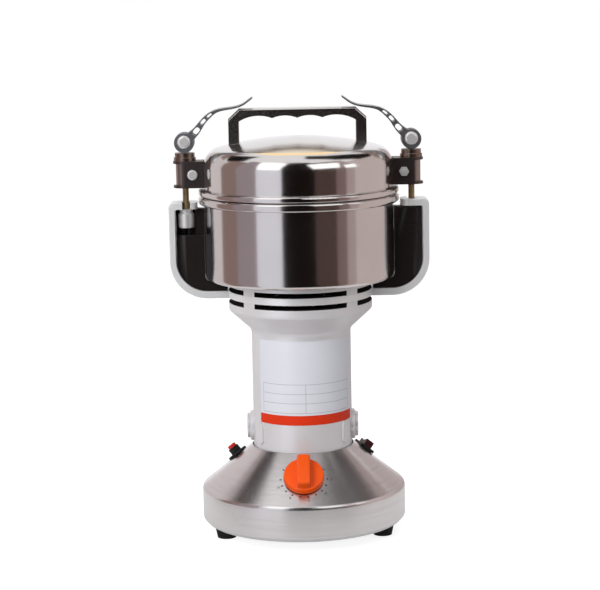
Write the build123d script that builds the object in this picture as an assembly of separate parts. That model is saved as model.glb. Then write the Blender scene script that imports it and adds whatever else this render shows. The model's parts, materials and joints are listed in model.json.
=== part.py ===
from build123d import *
import os
from math import atan2, cos, degrees, hypot, radians, sin, sqrt

# Electric grinding mill in millimetres. +Z is up and -Y is the front, where the timer knob is.
# The origin is the middle of the plane that the feet stand on.

# Fits that several pieces share
overrun = 1.0  # how far a cut runs past the face that it opens
fit = 0.05  # radial clearance of a fixed or running fit
seat_gap = 0.1  # clearance where one piece lies against another
head_round_share = 0.45  # rounding of a screw head, as a share of its height

# Heights of the outer stack, from the floor up
foot_height = 8.1
base_plate_thickness = 1.5
skirt_height = 20.9
cone_rise = 27.3
tube_rise = 76.6
flare_height = 13.0
flange_band = 5.1
vent_gap = 3.2
yoke_thickness = 4.5
seat_thickness = 3.6
bowl_height = 54.7
seam_gap = 0.3
brim_height = 4.0
lid_height = 27.6
dome_rise = 8.9

# Radii of the outer stack
base_flare = 33.4
housing_radius = 32.2
bowl_radius = 61.0
rim_width = 3.5
lid_inset = 0.2
clamp_offset = 8.1
flare_reach = 14.2
flange_width = 9.9

# Base shell and plate
base_sheet = 1.2
base_lip_width = 17.9
cone_gap = 0.8
skirt_round = 3.0
lip_round = 1.6
shell_turn = 45  # keeps the turned form's seam clear of its holes
base_plate_inset = 2.4
air_slot_count = 16
air_slot_inset = 1.2
air_slot_margin = 4.5
air_slot_width = 3.4

# Feet with their screws and nuts
foot_top_radius = 7.6
foot_bottom_radius = 6.0
foot_round = 1.0
foot_inset = 12.2
foot_angles = (20.6, 159.4, 200.6, 339.4)
foot_recess_radius = 4.0
foot_recess_depth = 4.2
foot_screw_radius = 2.0
foot_screw_head_radius = 3.6
foot_screw_head_height = 2.4
foot_nut_radius = 4.0
foot_nut_height = 3.2
screw_tail = 0.8

# Motor housing
housing_wall = 3.0
housing_tuck = 11.8
neck_round = 6.0
flange_round = 3.0
post_spread = 12.0
post_angles = (45, 135, 225, 315)
brush_rise = 12.0
boss_radius = 9.8
boss_stand = 2.0
boss_round = 0.8
pad_angles = (31, 149, 211, 329)
pad_width = 8.4
pad_stand = 0.9
pad_start = 3.0
pad_height = 15.0
pad_round = 3.4
screw_boss_radius = 4.5
screw_boss_sink = 0.9
screw_boss_height = 14.0
screw_boss_depth = 10.0

# Motor mounting
pillar_radius = 4.0
motor_screw_radius = 2.0
motor_screw_head_radius = 3.6
motor_screw_head_height = 2.4

# End bell with the lower bearing
end_bell_thickness = 4.0
end_bell_inset = 0.8
end_bell_hub_radius = 14.5
end_bell_hub_height = 8.6
end_bell_hole_radius = 5.0
end_bell_vent_radius = 3.6
end_bell_vent_inset = 10.2
end_bell_vent_angles = (0, 60, 90, 120, 180, 240, 270, 300)
bearing_outer_radius = 11.0
bearing_width = 7.0
bearing_groove_depth = 0.5
bearing_groove_inner_share = 0.3
bearing_groove_outer_share = 0.7

# Stator with its coils
stator_gap = 0.2
stator_rise = 15.0
stator_length = 42.0
stator_air_gap = 0.6
stator_pole_edge = 0.7
stator_rim = 3.8
stator_window_share = 0.6
coil_gap = 0.3
coil_end_height = 5.6
coil_split = 0.6

# Rotor
shaft_radius = 4.0
shaft_thread_radius = 3.0
shaft_tail = 0.6
armature_share = 0.514
armature_slot_count = 12
armature_slot_width = 2.2
armature_slot_depth = 4.0
winding_inset = 1.4
winding_height = 5.4
winding_round = 2.4
commutator_inset = 4.0
commutator_length = 16.0
commutator_bar_count = 24
commutator_groove_width = 0.5
commutator_groove_depth = 0.8
fan_gap = 3.2
fan_hub_radius = 7.5
fan_disc_thickness = 1.6
fan_height = 10.0
fan_blade_count = 13
fan_blade_thickness = 1.2
fan_blade_share = 0.46
fan_lift = 3.0

# Brush gear, one set each side
holder_radius = 6.0
holder_gap = 1.4
brush_width = 6.4
brush_height = 5.4
brush_length_share = 0.67
brush_gap = 0.2
spring_radius = 2.1
spring_wire_radius = 0.35
spring_turns = 6
cap_head_radius = 8.2
cap_head_height = 2.0
cap_stem_radius = 4.9
cap_stem_length = 3.6
cap_slot_width = 1.6
cap_slot_depth = 0.9

# Plate under the bowl with the upper bearing and the seal
seat_hub_radius = 14.5
seat_hub_depth = 12.4
seal_radius = 9.0
seal_height = 5.6
seal_lip = 0.8

# Bowl
bowl_wall = 1.2
bowl_floor = 1.5
bowl_corner = 4.0
bowl_hole_radius = 5.2
bowl_rim_height = 5.4
bowl_rim_round = 1.7
bowl_screw_radius = 2.0
bowl_screw_head_radius = 3.6
bowl_screw_head_height = 2.0
bowl_screw_bite = 6.0

# Cutters on the shaft
collar_lift = 1.6
collar_radius = 8.0
collar_thickness = 2.6
blade_thickness = 2.0
blade_width = 17.0
blade_tip_width = 9.0
lower_blade_gap = 9.0
lower_blade_end = 14.0
lower_blade_lift = 3.6
upper_blade_gap = 15.0
upper_blade_end = 28.0
upper_blade_lift = 9.0
blade_spacer_radius = 7.0
blade_spacer_height = 11.0
blade_nut_radius = 6.6
blade_nut_height = 6.0
blade_nut_dome_radius = 4.6
blade_nut_dome_height = 2.6

# Lid with its liner and gasket
lid_sheet = 1.2
lid_shoulder = 12.0
brim_round = 1.4
liner_thickness = 1.0
liner_lift = 0.4
liner_rim_height = 5.0
gasket_inset = 0.7
gasket_width = 1.4
gasket_height = 1.6

# Lid handle
handle_rise = 27.4
handle_inset = 16.7
handle_leg = 6.8
handle_depth = 12.0
handle_chamfer_x = 7.0
handle_chamfer_z = 6.4
handle_bar = 4.8
handle_cusp = 1.6
handle_cusp_pitch = 16.0
handle_corner_drop = 3.4
handle_edge_chamfer = 1.0
handle_screw_radius = 1.6
handle_screw_head_radius = 3.0
handle_screw_head_height = 2.0
handle_screw_bite = 8.0

# Yoke: a ring with two upright arms
arm_thickness = 3.9
arm_width = 18.0
arm_height = 61.9
arm_bend = 24.0
arm_top_round = 3.0
shelf_thickness = 4.2
shelf_gap = 0.7
shelf_round = 5.0
shelf_inner_round = 1.5
slot_gap = 0.5
slot_sweep = 20.0

# Black sockets inside the arms
grip_radius = 6.8
grip_bore_radius = 5.8
grip_floor_drop = 8.0
grip_notch_drop = 16.8
grip_gap = 0.6
grip_screw_radius = 1.6
grip_screw_head_radius = 3.4
grip_screw_head_depth = 1.8
grip_screw_length = 11.0
grip_screw_rise = 26.0

# Lugs on the lid
lug_lift = 0.9
lug_height = 17.1
lug_lip_radius = 7.6
lug_lip_thickness = 1.6
lug_cheek = 1.6
lug_cheek_reach = 2.0
lug_web = 2.4
lug_screw_inset = 5.0
lug_screw_radius = 1.5
lug_screw_head_radius = 3.3
lug_screw_head_height = 2.0
lug_nut_radius = 3.2
lug_nut_height = 2.2

# Clamp rods with their nuts and collars
rod_radius = 2.0
clamp_nut_radius = 5.2
clamp_nut_height = 12.2
clamp_nut_drop = 0.4
clamp_nut_neck_radius = 4.3
clamp_nut_neck_height = 2.4
clamp_nut_round = 0.8
collar_seat_radius = 7.1
collar_seat_height = 5.2
collar_step_radius = 6.4
collar_step_share = 0.45
rod_eye_radius = 4.2
rod_eye_width = 4.6

# Cam levers
cam_gap = 0.25
cam_throw = 0.5
eye_radius = 6.4
lever_width = 12.0
lever_reach = 44.0
lever_rise = 27.9
lever_rail = 0.85
lever_fork_gap = 0.3
lever_fork_radius = 8.6
lever_spine_shares = (
    (0.03, 0.03, 0.70),
    (0.105, 0.15, 0.45),
    (0.18, 0.262, 0.38),
    (0.232, 0.37, 0.33),
    (0.282, 0.473, 0.29),
    (0.373, 0.61, 0.245),
    (0.464, 0.70, 0.16),
    (0.557, 0.742, 0.12),
    (0.686, 0.77, 0.10),
    (0.782, 0.80, 0.09),
    (0.868, 0.853, 0.088),
    (0.936, 0.925, 0.083),
    (1.00, 1.00, 0.075),
)
lever_window_shares = ((2, 0.88), (4, 0.72), (5, 0.66))
pin_radius = 2.0
pin_head_radius = 4.3
pin_head_height = 1.7
pin_dome_share = 0.95
pin_gap = 0.2

# Wind-up timer with its knob
timer_inset = 18.4
timer_body_width_share = 0.21
timer_body_up_share = 0.20
timer_body_down_share = 0.42
timer_body_depth = 15.0
timer_boss_radius = 6.5
timer_neck_radius = 3.6
timer_neck_height = 3.4
timer_nut_radius = 6.4
timer_nut_height = 2.0
timer_shaft_radius = 2.4
timer_shaft_tail = 8.0
knob_radius = 12.5
knob_draft = 0.5
knob_disc = 3.7
knob_lift = 0.7
knob_round = 0.8
knob_fin_width = 9.4
knob_fin_height = 6.0
knob_fin_draft = 8.0
knob_fin_round = 1.2
knob_pocket_radius = 8.6
knob_pocket_depth = 2.8
knob_bore_depth = 8.0

# Overload reset
reset_inset = 22.0
reset_turn = 13.0  # towards the back
reset_flange_radius = 7.0
reset_flange_height = 1.4
reset_bush_radius = 3.7
reset_bush_height = 5.4
reset_body_half = 6.5
reset_body_up = 4.0
reset_body_down = 9.0
reset_body_depth = 11.0
reset_button_radius = 2.9
reset_button_stand = 2.2
reset_button_round = 0.8
reset_button_sink = 8.0
reset_travel = 2.0

# Rocker switch
switch_inset = 24.6
switch_turn = 17.0  # towards the back
switch_bezel_length = 15.0
switch_bezel_width = 10.6
switch_bezel_height = 1.8
switch_bezel_round = 1.0
switch_body_length = 12.6
switch_body_width = 8.6
switch_body_depth = 9.4
switch_wall = 1.0
switch_pocket_depth = 6.0
rocker_gap = 0.35
rocker_pin_radius = 1.0
rocker_pin_length = 0.6
rocker_stand = 5.4
rocker_waist = 1.6
rocker_tilt = 9.0
rocker_heel = 2.6

# Cord gland
gland_rise = 10.6
gland_bore_radius = 3.4
gland_neck_radius = 4.8
gland_flange_radius = 6.8
gland_flange_height = 1.8
gland_inner_radius = 6.2
gland_inner_height = 1.6

# Levels and places that follow from the sizes above
rim_radius = bowl_radius + rim_width
lid_radius = bowl_radius - lid_inset
clamp_radius = rim_radius + clamp_offset
flange_radius = housing_radius + flare_reach
flange_bore_radius = flange_radius - flange_width
bowl_screw_place = (flange_radius + flange_bore_radius) / 2
cone_top_radius = housing_radius + cone_gap
cone_run = base_flare
base_radius = cone_top_radius + cone_run
base_lip_radius = base_radius - base_lip_width
handle_half_width = lid_radius - handle_inset
plate_z = foot_height
shell_z = plate_z + base_plate_thickness
skirt_z = shell_z + skirt_height
cone_z = skirt_z + cone_rise
flare_z = cone_z + tube_rise
band_z = flare_z + flare_height
flange_z = band_z + flange_band
yoke_z = flange_z + vent_gap
yoke_top = yoke_z + yoke_thickness
seat_z = yoke_top + vent_gap
bowl_z = seat_z + seat_thickness
bowl_top = bowl_z + bowl_height
lid_z = bowl_top + seam_gap
brim_z = lid_z + brim_height
lid_edge_z = lid_z + lid_height
dome_z = lid_edge_z + dome_rise
handle_z = lid_edge_z + handle_rise
housing_z = cone_z - housing_tuck
end_bell_z = housing_z - end_bell_thickness
brush_z = cone_z + brush_rise
stator_z = brush_z + stator_rise
stator_top = stator_z + stator_length
seat_hub_z = seat_z - seat_hub_depth
arm_top = yoke_z + arm_height
shelf_z = arm_top - shelf_thickness
arm_inner = clamp_radius + grip_radius + seat_gap
arm_outer = arm_inner + arm_thickness
shelf_end = rim_radius + shelf_gap
lug_z = brim_z + lug_lift
lug_top = lug_z + lug_height
eye_z = lug_top + collar_seat_height + cam_gap + eye_radius
pin_z = eye_z + cam_throw
clamp_nut_top = shelf_z - clamp_nut_drop
clamp_nut_z = clamp_nut_top - clamp_nut_height
cone_slant = hypot(cone_run, cone_rise)
cone_out = cone_rise / cone_slant
cone_up = cone_run / cone_slant
sheet_on_cone = base_sheet / cone_up
housing_bore = housing_radius - housing_wall
pillar_place = housing_bore - screw_boss_radius + screw_boss_sink
boss_reach = housing_radius + boss_stand
armature_radius = housing_bore * armature_share
commutator_radius = armature_radius - commutator_inset
stator_bore_radius = armature_radius + stator_air_gap
stator_window_inner = stator_bore_radius + stator_pole_edge
stator_window_outer = housing_bore - stator_gap - stator_rim
stator_window_half = stator_bore_radius * stator_window_share
fan_radius = housing_bore - fan_gap
gasket_inner = lid_radius + gasket_inset
timer_place = base_radius - timer_inset
timer_body_half = base_radius * timer_body_width_share
timer_body_up = cone_slant * timer_body_up_share
timer_body_down = cone_slant * timer_body_down_share
reset_place = base_radius - reset_inset
switch_place = base_radius - switch_inset
dome_radius = (lid_radius**2 + dome_rise**2) / (2 * dome_rise)
inner_dome_radius = ((lid_radius - lid_sheet) ** 2 + dome_rise**2) / (2 * dome_rise)
front, right, back, left = -90, 0, 90, 180

STANDING = (Align.CENTER, Align.CENTER, Align.MIN)


def disc(radius, bottom, top, x=0, y=0):
    """Upright cylinder between two heights."""
    return Pos(x, y, bottom) * Cylinder(radius, top - bottom, align=STANDING)


def ring(outer, inner, bottom, top, x=0, y=0):
    """Upright tube between two heights."""
    return disc(outer, bottom, top, x, y) - disc(inner, bottom - overrun, top + overrun, x, y)


def block(low, high):
    """Box between two corners."""
    size = [b - a for a, b in zip(low, high)]
    middle = [(a + b) / 2 for a, b in zip(low, high)]
    return Pos(*middle) * Box(*size)


def rounded(corners, rounds=()):
    """Flat outline through corners, some of them rounded."""
    face = make_face(Polyline(*corners, close=True))
    for corner, radius in rounds:
        face = fillet(face.vertices().sort_by_distance((*corner, 0))[0], radius)
    return face


def lathe(corners, rounds=()):
    """Body of revolution about Z from corners of radius and height."""
    return revolve(Plane.XZ * rounded(corners, rounds), Axis.Z)


def sector(outer, inner, bottom, top, middle, spread):
    """Part of a ring, about a middle angle."""
    face = rounded([(inner, bottom), (outer, bottom), (outer, top), (inner, top)])
    return Rot(0, 0, middle - spread / 2) * revolve(Plane.XZ * face, Axis.Z, revolution_arc=spread)


def around(shape, angles):
    """Copies of a shape turned about the middle axis."""
    return [Rot(0, 0, angle) * shape for angle in angles]


def even_angles(count):
    """Angles that divide a turn evenly."""
    return [360 * index / count for index in range(count)]


def polar(radius, angle):
    """Place on a circle about the middle axis."""
    return radius * cos(radians(angle)), radius * sin(radians(angle))


def group(shapes):
    """Separate solids in one node."""
    return Compound([solid for shape in shapes for solid in shape.solids()])


def screw(radius, length, head_radius, head_height):
    """Screw with its seat at height zero and its shank pointing down."""
    corners = [
        (0, -length),
        (radius, -length),
        (radius, 0),
        (head_radius, 0),
        (head_radius, head_height),
        (0, head_height),
    ]
    return lathe(corners, [((head_radius, head_height), head_height * head_round_share)])


def nut(radius, bore, height):
    """Hexagon nut that stands on height zero."""
    blank = extrude(RegularPolygon(radius, 6), height)
    return blank - disc(bore, -overrun, height + overrun)


def on_cone(angle, place):
    """Frame on the cone: +Z along the outward normal, +Y up the slope."""
    x, y = polar(place, angle)
    z = skirt_z + (base_radius - place) * cone_rise / cone_run
    out_x, out_y = polar(cone_out, angle)
    across = (-sin(radians(angle)), cos(radians(angle)), 0)
    return Plane(origin=(x, y, z), x_dir=across, z_dir=(out_x, out_y, cone_up)).location


def cone_sag(place, half):
    """How far the cone's inside falls away from its tangent plane at a sideways distance."""
    bend = place / cone_out - base_sheet
    return bend - sqrt(bend**2 - half**2)


def dome_at(radius):
    """Height of the lid's domed top at a distance from the axis."""
    return dome_z - dome_radius + sqrt(dome_radius**2 - radius**2)


def inner_dome_at(radius):
    """Height of the dome's underside at a distance from the axis."""
    bend = inner_dome_radius
    return dome_z - lid_sheet - bend + sqrt(bend**2 - radius**2)


def box_top(place, half, up):
    """Height, under the cone's tangent plane, of the top of a box fixed inside the cone."""
    return -base_sheet - cone_sag(place - up * cone_up, half) - seat_gap


foot_places = [polar(base_radius - foot_inset, angle) for angle in foot_angles]
timer_at = on_cone(front, timer_place)
reset_at = on_cone(left - reset_turn, reset_place)
switch_at = on_cone(right + switch_turn, switch_place)
gland_at = Plane(
    origin=(0, base_radius, shell_z + gland_rise), x_dir=(-1, 0, 0), z_dir=(0, 1, 0)
).location


def base_shell():
    """Spun cone with a short skirt and an inturned lip, pierced for the controls."""
    inner_radius = base_radius - base_sheet
    inner_corner = skirt_z + base_sheet * cone_rise / cone_run - sheet_on_cone
    corners = [
        (base_lip_radius, shell_z),
        (base_radius, shell_z),
        (base_radius, skirt_z),
        (cone_top_radius, cone_z),
        (cone_top_radius, cone_z - sheet_on_cone),
        (inner_radius, inner_corner),
        (inner_radius, shell_z + base_sheet),
        (base_lip_radius, shell_z + base_sheet),
    ]
    rounds = [
        ((base_radius, shell_z), lip_round),
        ((base_radius, skirt_z), skirt_round),
        ((inner_radius, inner_corner), skirt_round - base_sheet),
    ]
    shell = Rot(0, 0, shell_turn) * lathe(corners, rounds)
    reach = base_sheet + cone_sag(reset_place, reset_bush_radius) + overrun
    shell -= timer_at * disc(timer_neck_radius + fit, -reach, overrun)
    shell -= reset_at * disc(reset_bush_radius + fit, -reach, overrun)
    cut = switch_body_length / 2 + seat_gap, switch_body_width / 2 + seat_gap
    shell -= switch_at * block((-cut[0], -cut[1], -reach - overrun), (*cut, overrun))
    shell -= gland_at * disc(gland_neck_radius + fit, -base_sheet - overrun, overrun)
    for x, y in foot_places:
        shell -= disc(foot_screw_radius + fit, shell_z - overrun, shell_z + base_sheet + overrun, x, y)
    return shell


def base_plate():
    """Round closing plate with screw holes and a ring of air slots."""
    plate = disc(base_radius - base_plate_inset, plate_z, shell_z)
    inner = housing_radius - air_slot_inset
    outer = base_lip_radius - air_slot_margin
    middle = (inner + outer) / 2
    slot = SlotOverall(outer - inner, air_slot_width)
    cutter = Pos(middle, 0, plate_z - overrun) * extrude(slot, base_plate_thickness + 2 * overrun)
    plate -= around(cutter, even_angles(air_slot_count))
    holes = [(x, y, foot_screw_radius) for x, y in foot_places]
    holes += [(*polar(pillar_place, angle), motor_screw_radius) for angle in pad_angles]
    for x, y, radius in holes:
        plate -= disc(radius + fit, plate_z - overrun, shell_z + overrun, x, y)
    return plate


def feet():
    """Four tapered rubber feet, each with a recess for its screw."""
    hole = foot_screw_radius + fit
    corners = [
        (foot_recess_radius, 0),
        (foot_bottom_radius, 0),
        (foot_top_radius, foot_height),
        (hole, foot_height),
        (hole, foot_recess_depth),
        (foot_recess_radius, foot_recess_depth),
    ]
    foot = lathe(corners, [((foot_top_radius, foot_height), foot_round)])
    return group(Pos(x, y, 0) * foot for x, y in foot_places)


def foot_screws():
    """Screws that run up through the feet, the plate and the lip."""
    length = shell_z + base_sheet + foot_nut_height + screw_tail - foot_recess_depth
    item = screw(foot_screw_radius, length, foot_screw_head_radius, foot_screw_head_height)
    return group(Pos(x, y, foot_recess_depth) * Rot(180, 0, 0) * item for x, y in foot_places)


def foot_nuts():
    """Nuts on the lip inside the base."""
    item = nut(foot_nut_radius, foot_screw_radius + fit, foot_nut_height)
    return group(Pos(x, y, shell_z + base_sheet) * item for x, y in foot_places)


def motor_pillars():
    """Spacers between the base plate and the end bell."""
    places = [polar(pillar_place, angle) for angle in pad_angles]
    bore = motor_screw_radius + fit
    return group(ring(pillar_radius, bore, shell_z, end_bell_z, x, y) for x, y in places)


def motor_screws():
    """Long screws from under the plate into the housing."""
    length = housing_z + screw_boss_depth - screw_tail - plate_z
    item = screw(motor_screw_radius, length, motor_screw_head_radius, motor_screw_head_height)
    places = [polar(pillar_place, angle) for angle in pad_angles]
    return group(Pos(x, y, plate_z) * Rot(180, 0, 0) * item for x, y in places)


def vent_posts(bottom, top):
    """Four posts that hold two rings apart and leave the air slots between them."""
    return [
        sector(flange_radius, flange_bore_radius, bottom, top, angle, post_spread)
        for angle in post_angles
    ]


def along_x(shape, side):
    """A shape built up +Z, laid along +X or -X at the height of the brushes."""
    return Pos(0, 0, brush_z) * Rot(0, 90 * side, 0) * shape


def motor_housing():
    """Cast tube with brush bosses, screw pads, a flared flange and vent posts."""
    corners = [
        (0, housing_z),
        (housing_radius, housing_z),
        (housing_radius, flare_z),
        (flange_radius, band_z),
        (flange_radius, flange_z),
        (0, flange_z),
    ]
    rounds = [((housing_radius, flare_z), neck_round), ((flange_radius, band_z), flange_round)]
    body = Rot(0, 0, back) * lathe(corners, rounds)
    boss_corners = [(0, 0), (boss_radius, 0), (boss_radius, boss_reach), (0, boss_reach)]
    boss = lathe(boss_corners, [((boss_radius, boss_reach), boss_round)])
    body += [along_x(boss, side) for side in (-1, 1)]
    pad = extrude(Plane.YZ * Rectangle(pad_width, pad_height), housing_radius + pad_stand)
    pad = fillet(pad.edges().filter_by(Axis.X), pad_round)
    pad_middle = cone_z + pad_start + pad_height / 2
    body += around(Pos(0, 0, pad_middle) * pad, pad_angles)
    hollow = [
        (0, housing_z - overrun),
        (housing_bore, housing_z - overrun),
        (housing_bore, flare_z),
        (flange_bore_radius, band_z),
        (flange_bore_radius, flange_z + overrun),
        (0, flange_z + overrun),
    ]
    body -= Rot(0, 0, back) * lathe(hollow)
    body += vent_posts(flange_z, yoke_z)
    for angle in post_angles:
        x, y = polar(bowl_screw_place, angle)
        body -= disc(bowl_screw_radius + fit, flange_z - bowl_screw_bite, yoke_z + overrun, x, y)
    for angle in pad_angles:
        x, y = polar(pillar_place, angle)
        body += disc(screw_boss_radius, housing_z, housing_z + screw_boss_height, x, y)
        body -= disc(motor_screw_radius + fit, housing_z - overrun, housing_z + screw_boss_depth, x, y)
    bore = disc(holder_radius + fit, housing_bore / 2, boss_reach + overrun)
    return body - [along_x(bore, side) for side in (-1, 1)]


def end_bell():
    """Bottom bracket of the motor, with a bearing pocket and air holes."""
    hub_top = housing_z + end_bell_hub_height
    bell = disc(housing_radius - end_bell_inset, end_bell_z, housing_z)
    bell += disc(end_bell_hub_radius, housing_z, hub_top)
    bell -= disc(end_bell_hole_radius, end_bell_z - overrun, hub_top)
    bell -= disc(bearing_outer_radius + fit, housing_z, hub_top + overrun)
    for angle in end_bell_vent_angles:
        x, y = polar(housing_radius - end_bell_vent_inset, angle)
        bell -= disc(end_bell_vent_radius, end_bell_z - overrun, housing_z + overrun, x, y)
    for angle in pad_angles:
        x, y = polar(pillar_place, angle)
        bell -= disc(motor_screw_radius + fit, end_bell_z - overrun, housing_z + overrun, x, y)
    return bell


def bearing(bottom):
    """Sealed ball bearing as a ring with its shield grooves."""
    top = bottom + bearing_width
    race = ring(bearing_outer_radius, shaft_radius + fit, bottom, top)
    width = bearing_outer_radius - shaft_radius
    inner = shaft_radius + width * bearing_groove_inner_share
    outer = shaft_radius + width * bearing_groove_outer_share
    race -= ring(outer, inner, bottom - overrun, bottom + bearing_groove_depth)
    return race - ring(outer, inner, top - bearing_groove_depth, top + overrun)


def lower_bearing():
    """Bearing in the end bell."""
    return bearing(housing_z + seat_gap)


def upper_bearing():
    """Bearing in the hub under the bowl."""
    return bearing(seat_hub_z + seat_gap)


def stator_core():
    """Stack of plates with a bore and two windows for the coils."""
    core = ring(housing_bore - stator_gap, stator_bore_radius, stator_z, stator_top)
    low = (0, -stator_window_half, stator_z - overrun)
    window = block(low, (stator_window_outer, stator_window_half, stator_top + overrun))
    return core - around(window, (0, 180))


def field_coils():
    """Two coils, one round each pole, with half-round ends past the plates."""
    outer = stator_window_outer - coil_gap
    half = stator_window_half - coil_gap
    runs = ring(outer, stator_window_inner, stator_z - coil_gap, stator_top + coil_gap)
    runs &= block((-outer, -half, stator_z - overrun), (outer, half, stator_top + overrun))
    for bottom in (stator_z - coil_gap - coil_end_height, stator_top + coil_gap):
        runs += ring(outer, stator_window_inner, bottom, bottom + coil_end_height)
    low = stator_z - coil_end_height - overrun
    high = stator_top + coil_end_height + overrun
    return group([runs - block((-base_radius, -coil_split, low), (base_radius, coil_split, high))])


collar_z = bowl_z + bowl_floor + collar_lift
collar_top = collar_z + collar_thickness
lower_blade_top = collar_top + blade_thickness
upper_blade_z = lower_blade_top + blade_spacer_height
upper_blade_top = upper_blade_z + blade_thickness
shaft_z = housing_z + seat_gap - shaft_tail


def motor_shaft():
    """Rotor shaft with the collar that carries the cutters."""
    shaft = disc(shaft_radius, shaft_z, upper_blade_top - fit)
    shaft += disc(collar_radius, collar_z, collar_top)
    return shaft + disc(shaft_thread_radius, upper_blade_top - fit, upper_blade_top + blade_nut_height)


def armature_core():
    """Slotted stack of plates on the shaft."""
    core = ring(armature_radius, shaft_radius + fit, stator_z, stator_top)
    inner = armature_radius - armature_slot_depth
    half = armature_slot_width / 2
    low = (inner, -half, stator_z - overrun)
    slot = block(low, (armature_radius + overrun, half, stator_top + overrun))
    return core - around(slot, even_angles(armature_slot_count))


def armature_winding():
    """Wound ends below and above the armature plates."""
    inner = shaft_radius + fit
    outer = armature_radius - winding_inset
    ends = []
    for bottom in (stator_z - seat_gap - winding_height, stator_top + seat_gap):
        top = bottom + winding_height
        corners = [(inner, bottom), (outer, bottom), (outer, top), (inner, top)]
        ends.append(lathe(corners, [(corners[1], winding_round), (corners[2], winding_round)]))
    return group(ends)


def commutator():
    """Ring of copper bars under the brushes."""
    bottom = brush_z - commutator_length / 2
    top = brush_z + commutator_length / 2
    drum = ring(commutator_radius, shaft_radius + fit, bottom, top)
    half = commutator_groove_width / 2
    low = (commutator_radius - commutator_groove_depth, -half, bottom - overrun)
    groove = block(low, (commutator_radius + overrun, half, top + overrun))
    return drum - around(groove, even_angles(commutator_bar_count))


def cooling_fan():
    """Radial fan that blows the air out of the vents."""
    bottom = stator_top + coil_gap + coil_end_height + fan_lift
    top = bottom + fan_height
    fan = disc(fan_radius, bottom, bottom + fan_disc_thickness)
    fan += disc(fan_hub_radius, bottom, seat_hub_z)
    half = fan_blade_thickness / 2
    vane_start = fan_radius * fan_blade_share
    vane = block((vane_start, -half, bottom), (fan_radius - overrun, half, top))
    fan += around(vane, even_angles(fan_blade_count))
    return fan - disc(shaft_radius + fit, bottom - overrun, seat_hub_z + overrun)


brush_tip = commutator_radius + brush_gap
cap_stem_end = boss_reach - cap_stem_length
brush_end = brush_tip + (cap_stem_end - brush_tip) * brush_length_share
holder_inner = commutator_radius + holder_gap


def brush_holders():
    """Insulated guides pressed into the bosses."""
    guide = disc(holder_radius, holder_inner, cap_stem_end - seat_gap)
    half_width = brush_width / 2 + fit
    half_height = brush_height / 2 + fit
    low = (-half_height, -half_width, holder_inner - overrun)
    guide -= block(low, (half_height, half_width, boss_reach))
    return group(along_x(guide, side) for side in (-1, 1))


def carbon_brushes():
    """Two brushes whose tips follow the commutator."""
    half_width = brush_width / 2
    half_height = brush_height / 2
    low = (commutator_radius / 2, -half_width, brush_z - half_height)
    bar = block(low, (brush_end, half_width, brush_z + half_height))
    bar -= disc(brush_tip, brush_z - brush_height, brush_z + brush_height)
    return group(around(bar, (0, 180)))


def brush_springs():
    """Coil springs between the brushes and their caps."""
    start = brush_end + seat_gap + spring_wire_radius
    length = cap_stem_end - seat_gap - spring_wire_radius - start
    path = Helix(length / spring_turns, length, spring_radius)
    section = Plane(origin=path @ 0, z_dir=path % 0) * Circle(spring_wire_radius)
    coil = Pos(0, 0, start) * sweep(section, path=path, is_frenet=True)
    return group(along_x(coil, side) for side in (-1, 1))


def brush_caps():
    """Slotted caps that close the brush bosses."""
    top = boss_reach + cap_head_height
    corners = [
        (0, cap_stem_end),
        (cap_stem_radius, cap_stem_end),
        (cap_stem_radius, boss_reach),
        (cap_head_radius, boss_reach),
        (cap_head_radius, top),
        (0, top),
    ]
    cap = lathe(corners, [((cap_head_radius, top), cap_head_height * head_round_share)])
    half = cap_slot_width / 2
    low = (-cap_head_radius, -half, top - cap_slot_depth)
    cap -= block(low, (cap_head_radius, half, top + overrun))
    return group(along_x(cap, side) for side in (-1, 1))


def bowl_seat():
    """Cast plate under the bowl: vent posts, bearing hub and seal pocket."""
    plate = disc(flange_radius, seat_z, bowl_z) + disc(seat_hub_radius, seat_hub_z, seat_z)
    plate += vent_posts(yoke_top, seat_z)
    pocket_top = seat_hub_z + bearing_width + 2 * seat_gap
    plate -= disc(bearing_outer_radius + fit, seat_hub_z - overrun, pocket_top)
    plate -= disc(bowl_hole_radius, seat_hub_z, bowl_z + overrun)
    plate -= disc(seal_radius + fit, bowl_z - seal_height - seat_gap, bowl_z + overrun)
    for angle in post_angles:
        x, y = polar(bowl_screw_place, angle)
        plate -= disc(bowl_screw_radius + fit, yoke_top - overrun, bowl_z + overrun, x, y)
    return plate


def shaft_seal():
    """Lip seal round the shaft, under the bowl's floor."""
    bottom = bowl_z - seal_height
    seal = ring(seal_radius, bowl_hole_radius, bottom, bowl_z - seat_gap)
    middle = bottom + seal_height / 2
    return seal + ring(bowl_hole_radius + fit, shaft_radius + fit, middle - seal_lip, middle + seal_lip)


def bowl():
    """Spun cup with a rolled rim and a hole for the shaft."""
    rim_z = bowl_top - bowl_rim_height
    inner = bowl_radius - bowl_wall
    floor = bowl_z + bowl_floor
    corners = [
        (bowl_hole_radius, bowl_z),
        (bowl_radius, bowl_z),
        (bowl_radius, rim_z),
        (rim_radius, rim_z),
        (rim_radius, bowl_top),
        (inner, bowl_top),
        (inner, floor),
        (bowl_hole_radius, floor),
    ]
    rounds = [
        ((bowl_radius, bowl_z), bowl_corner),
        ((inner, floor), bowl_corner - bowl_wall),
        ((rim_radius, rim_z), bowl_rim_round),
        ((rim_radius, bowl_top), bowl_rim_round),
    ]
    cup = lathe(corners, rounds)
    for angle in post_angles:
        x, y = polar(bowl_screw_place, angle)
        cup -= disc(bowl_screw_radius + fit, bowl_z - overrun, floor + overrun, x, y)
    return cup


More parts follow.
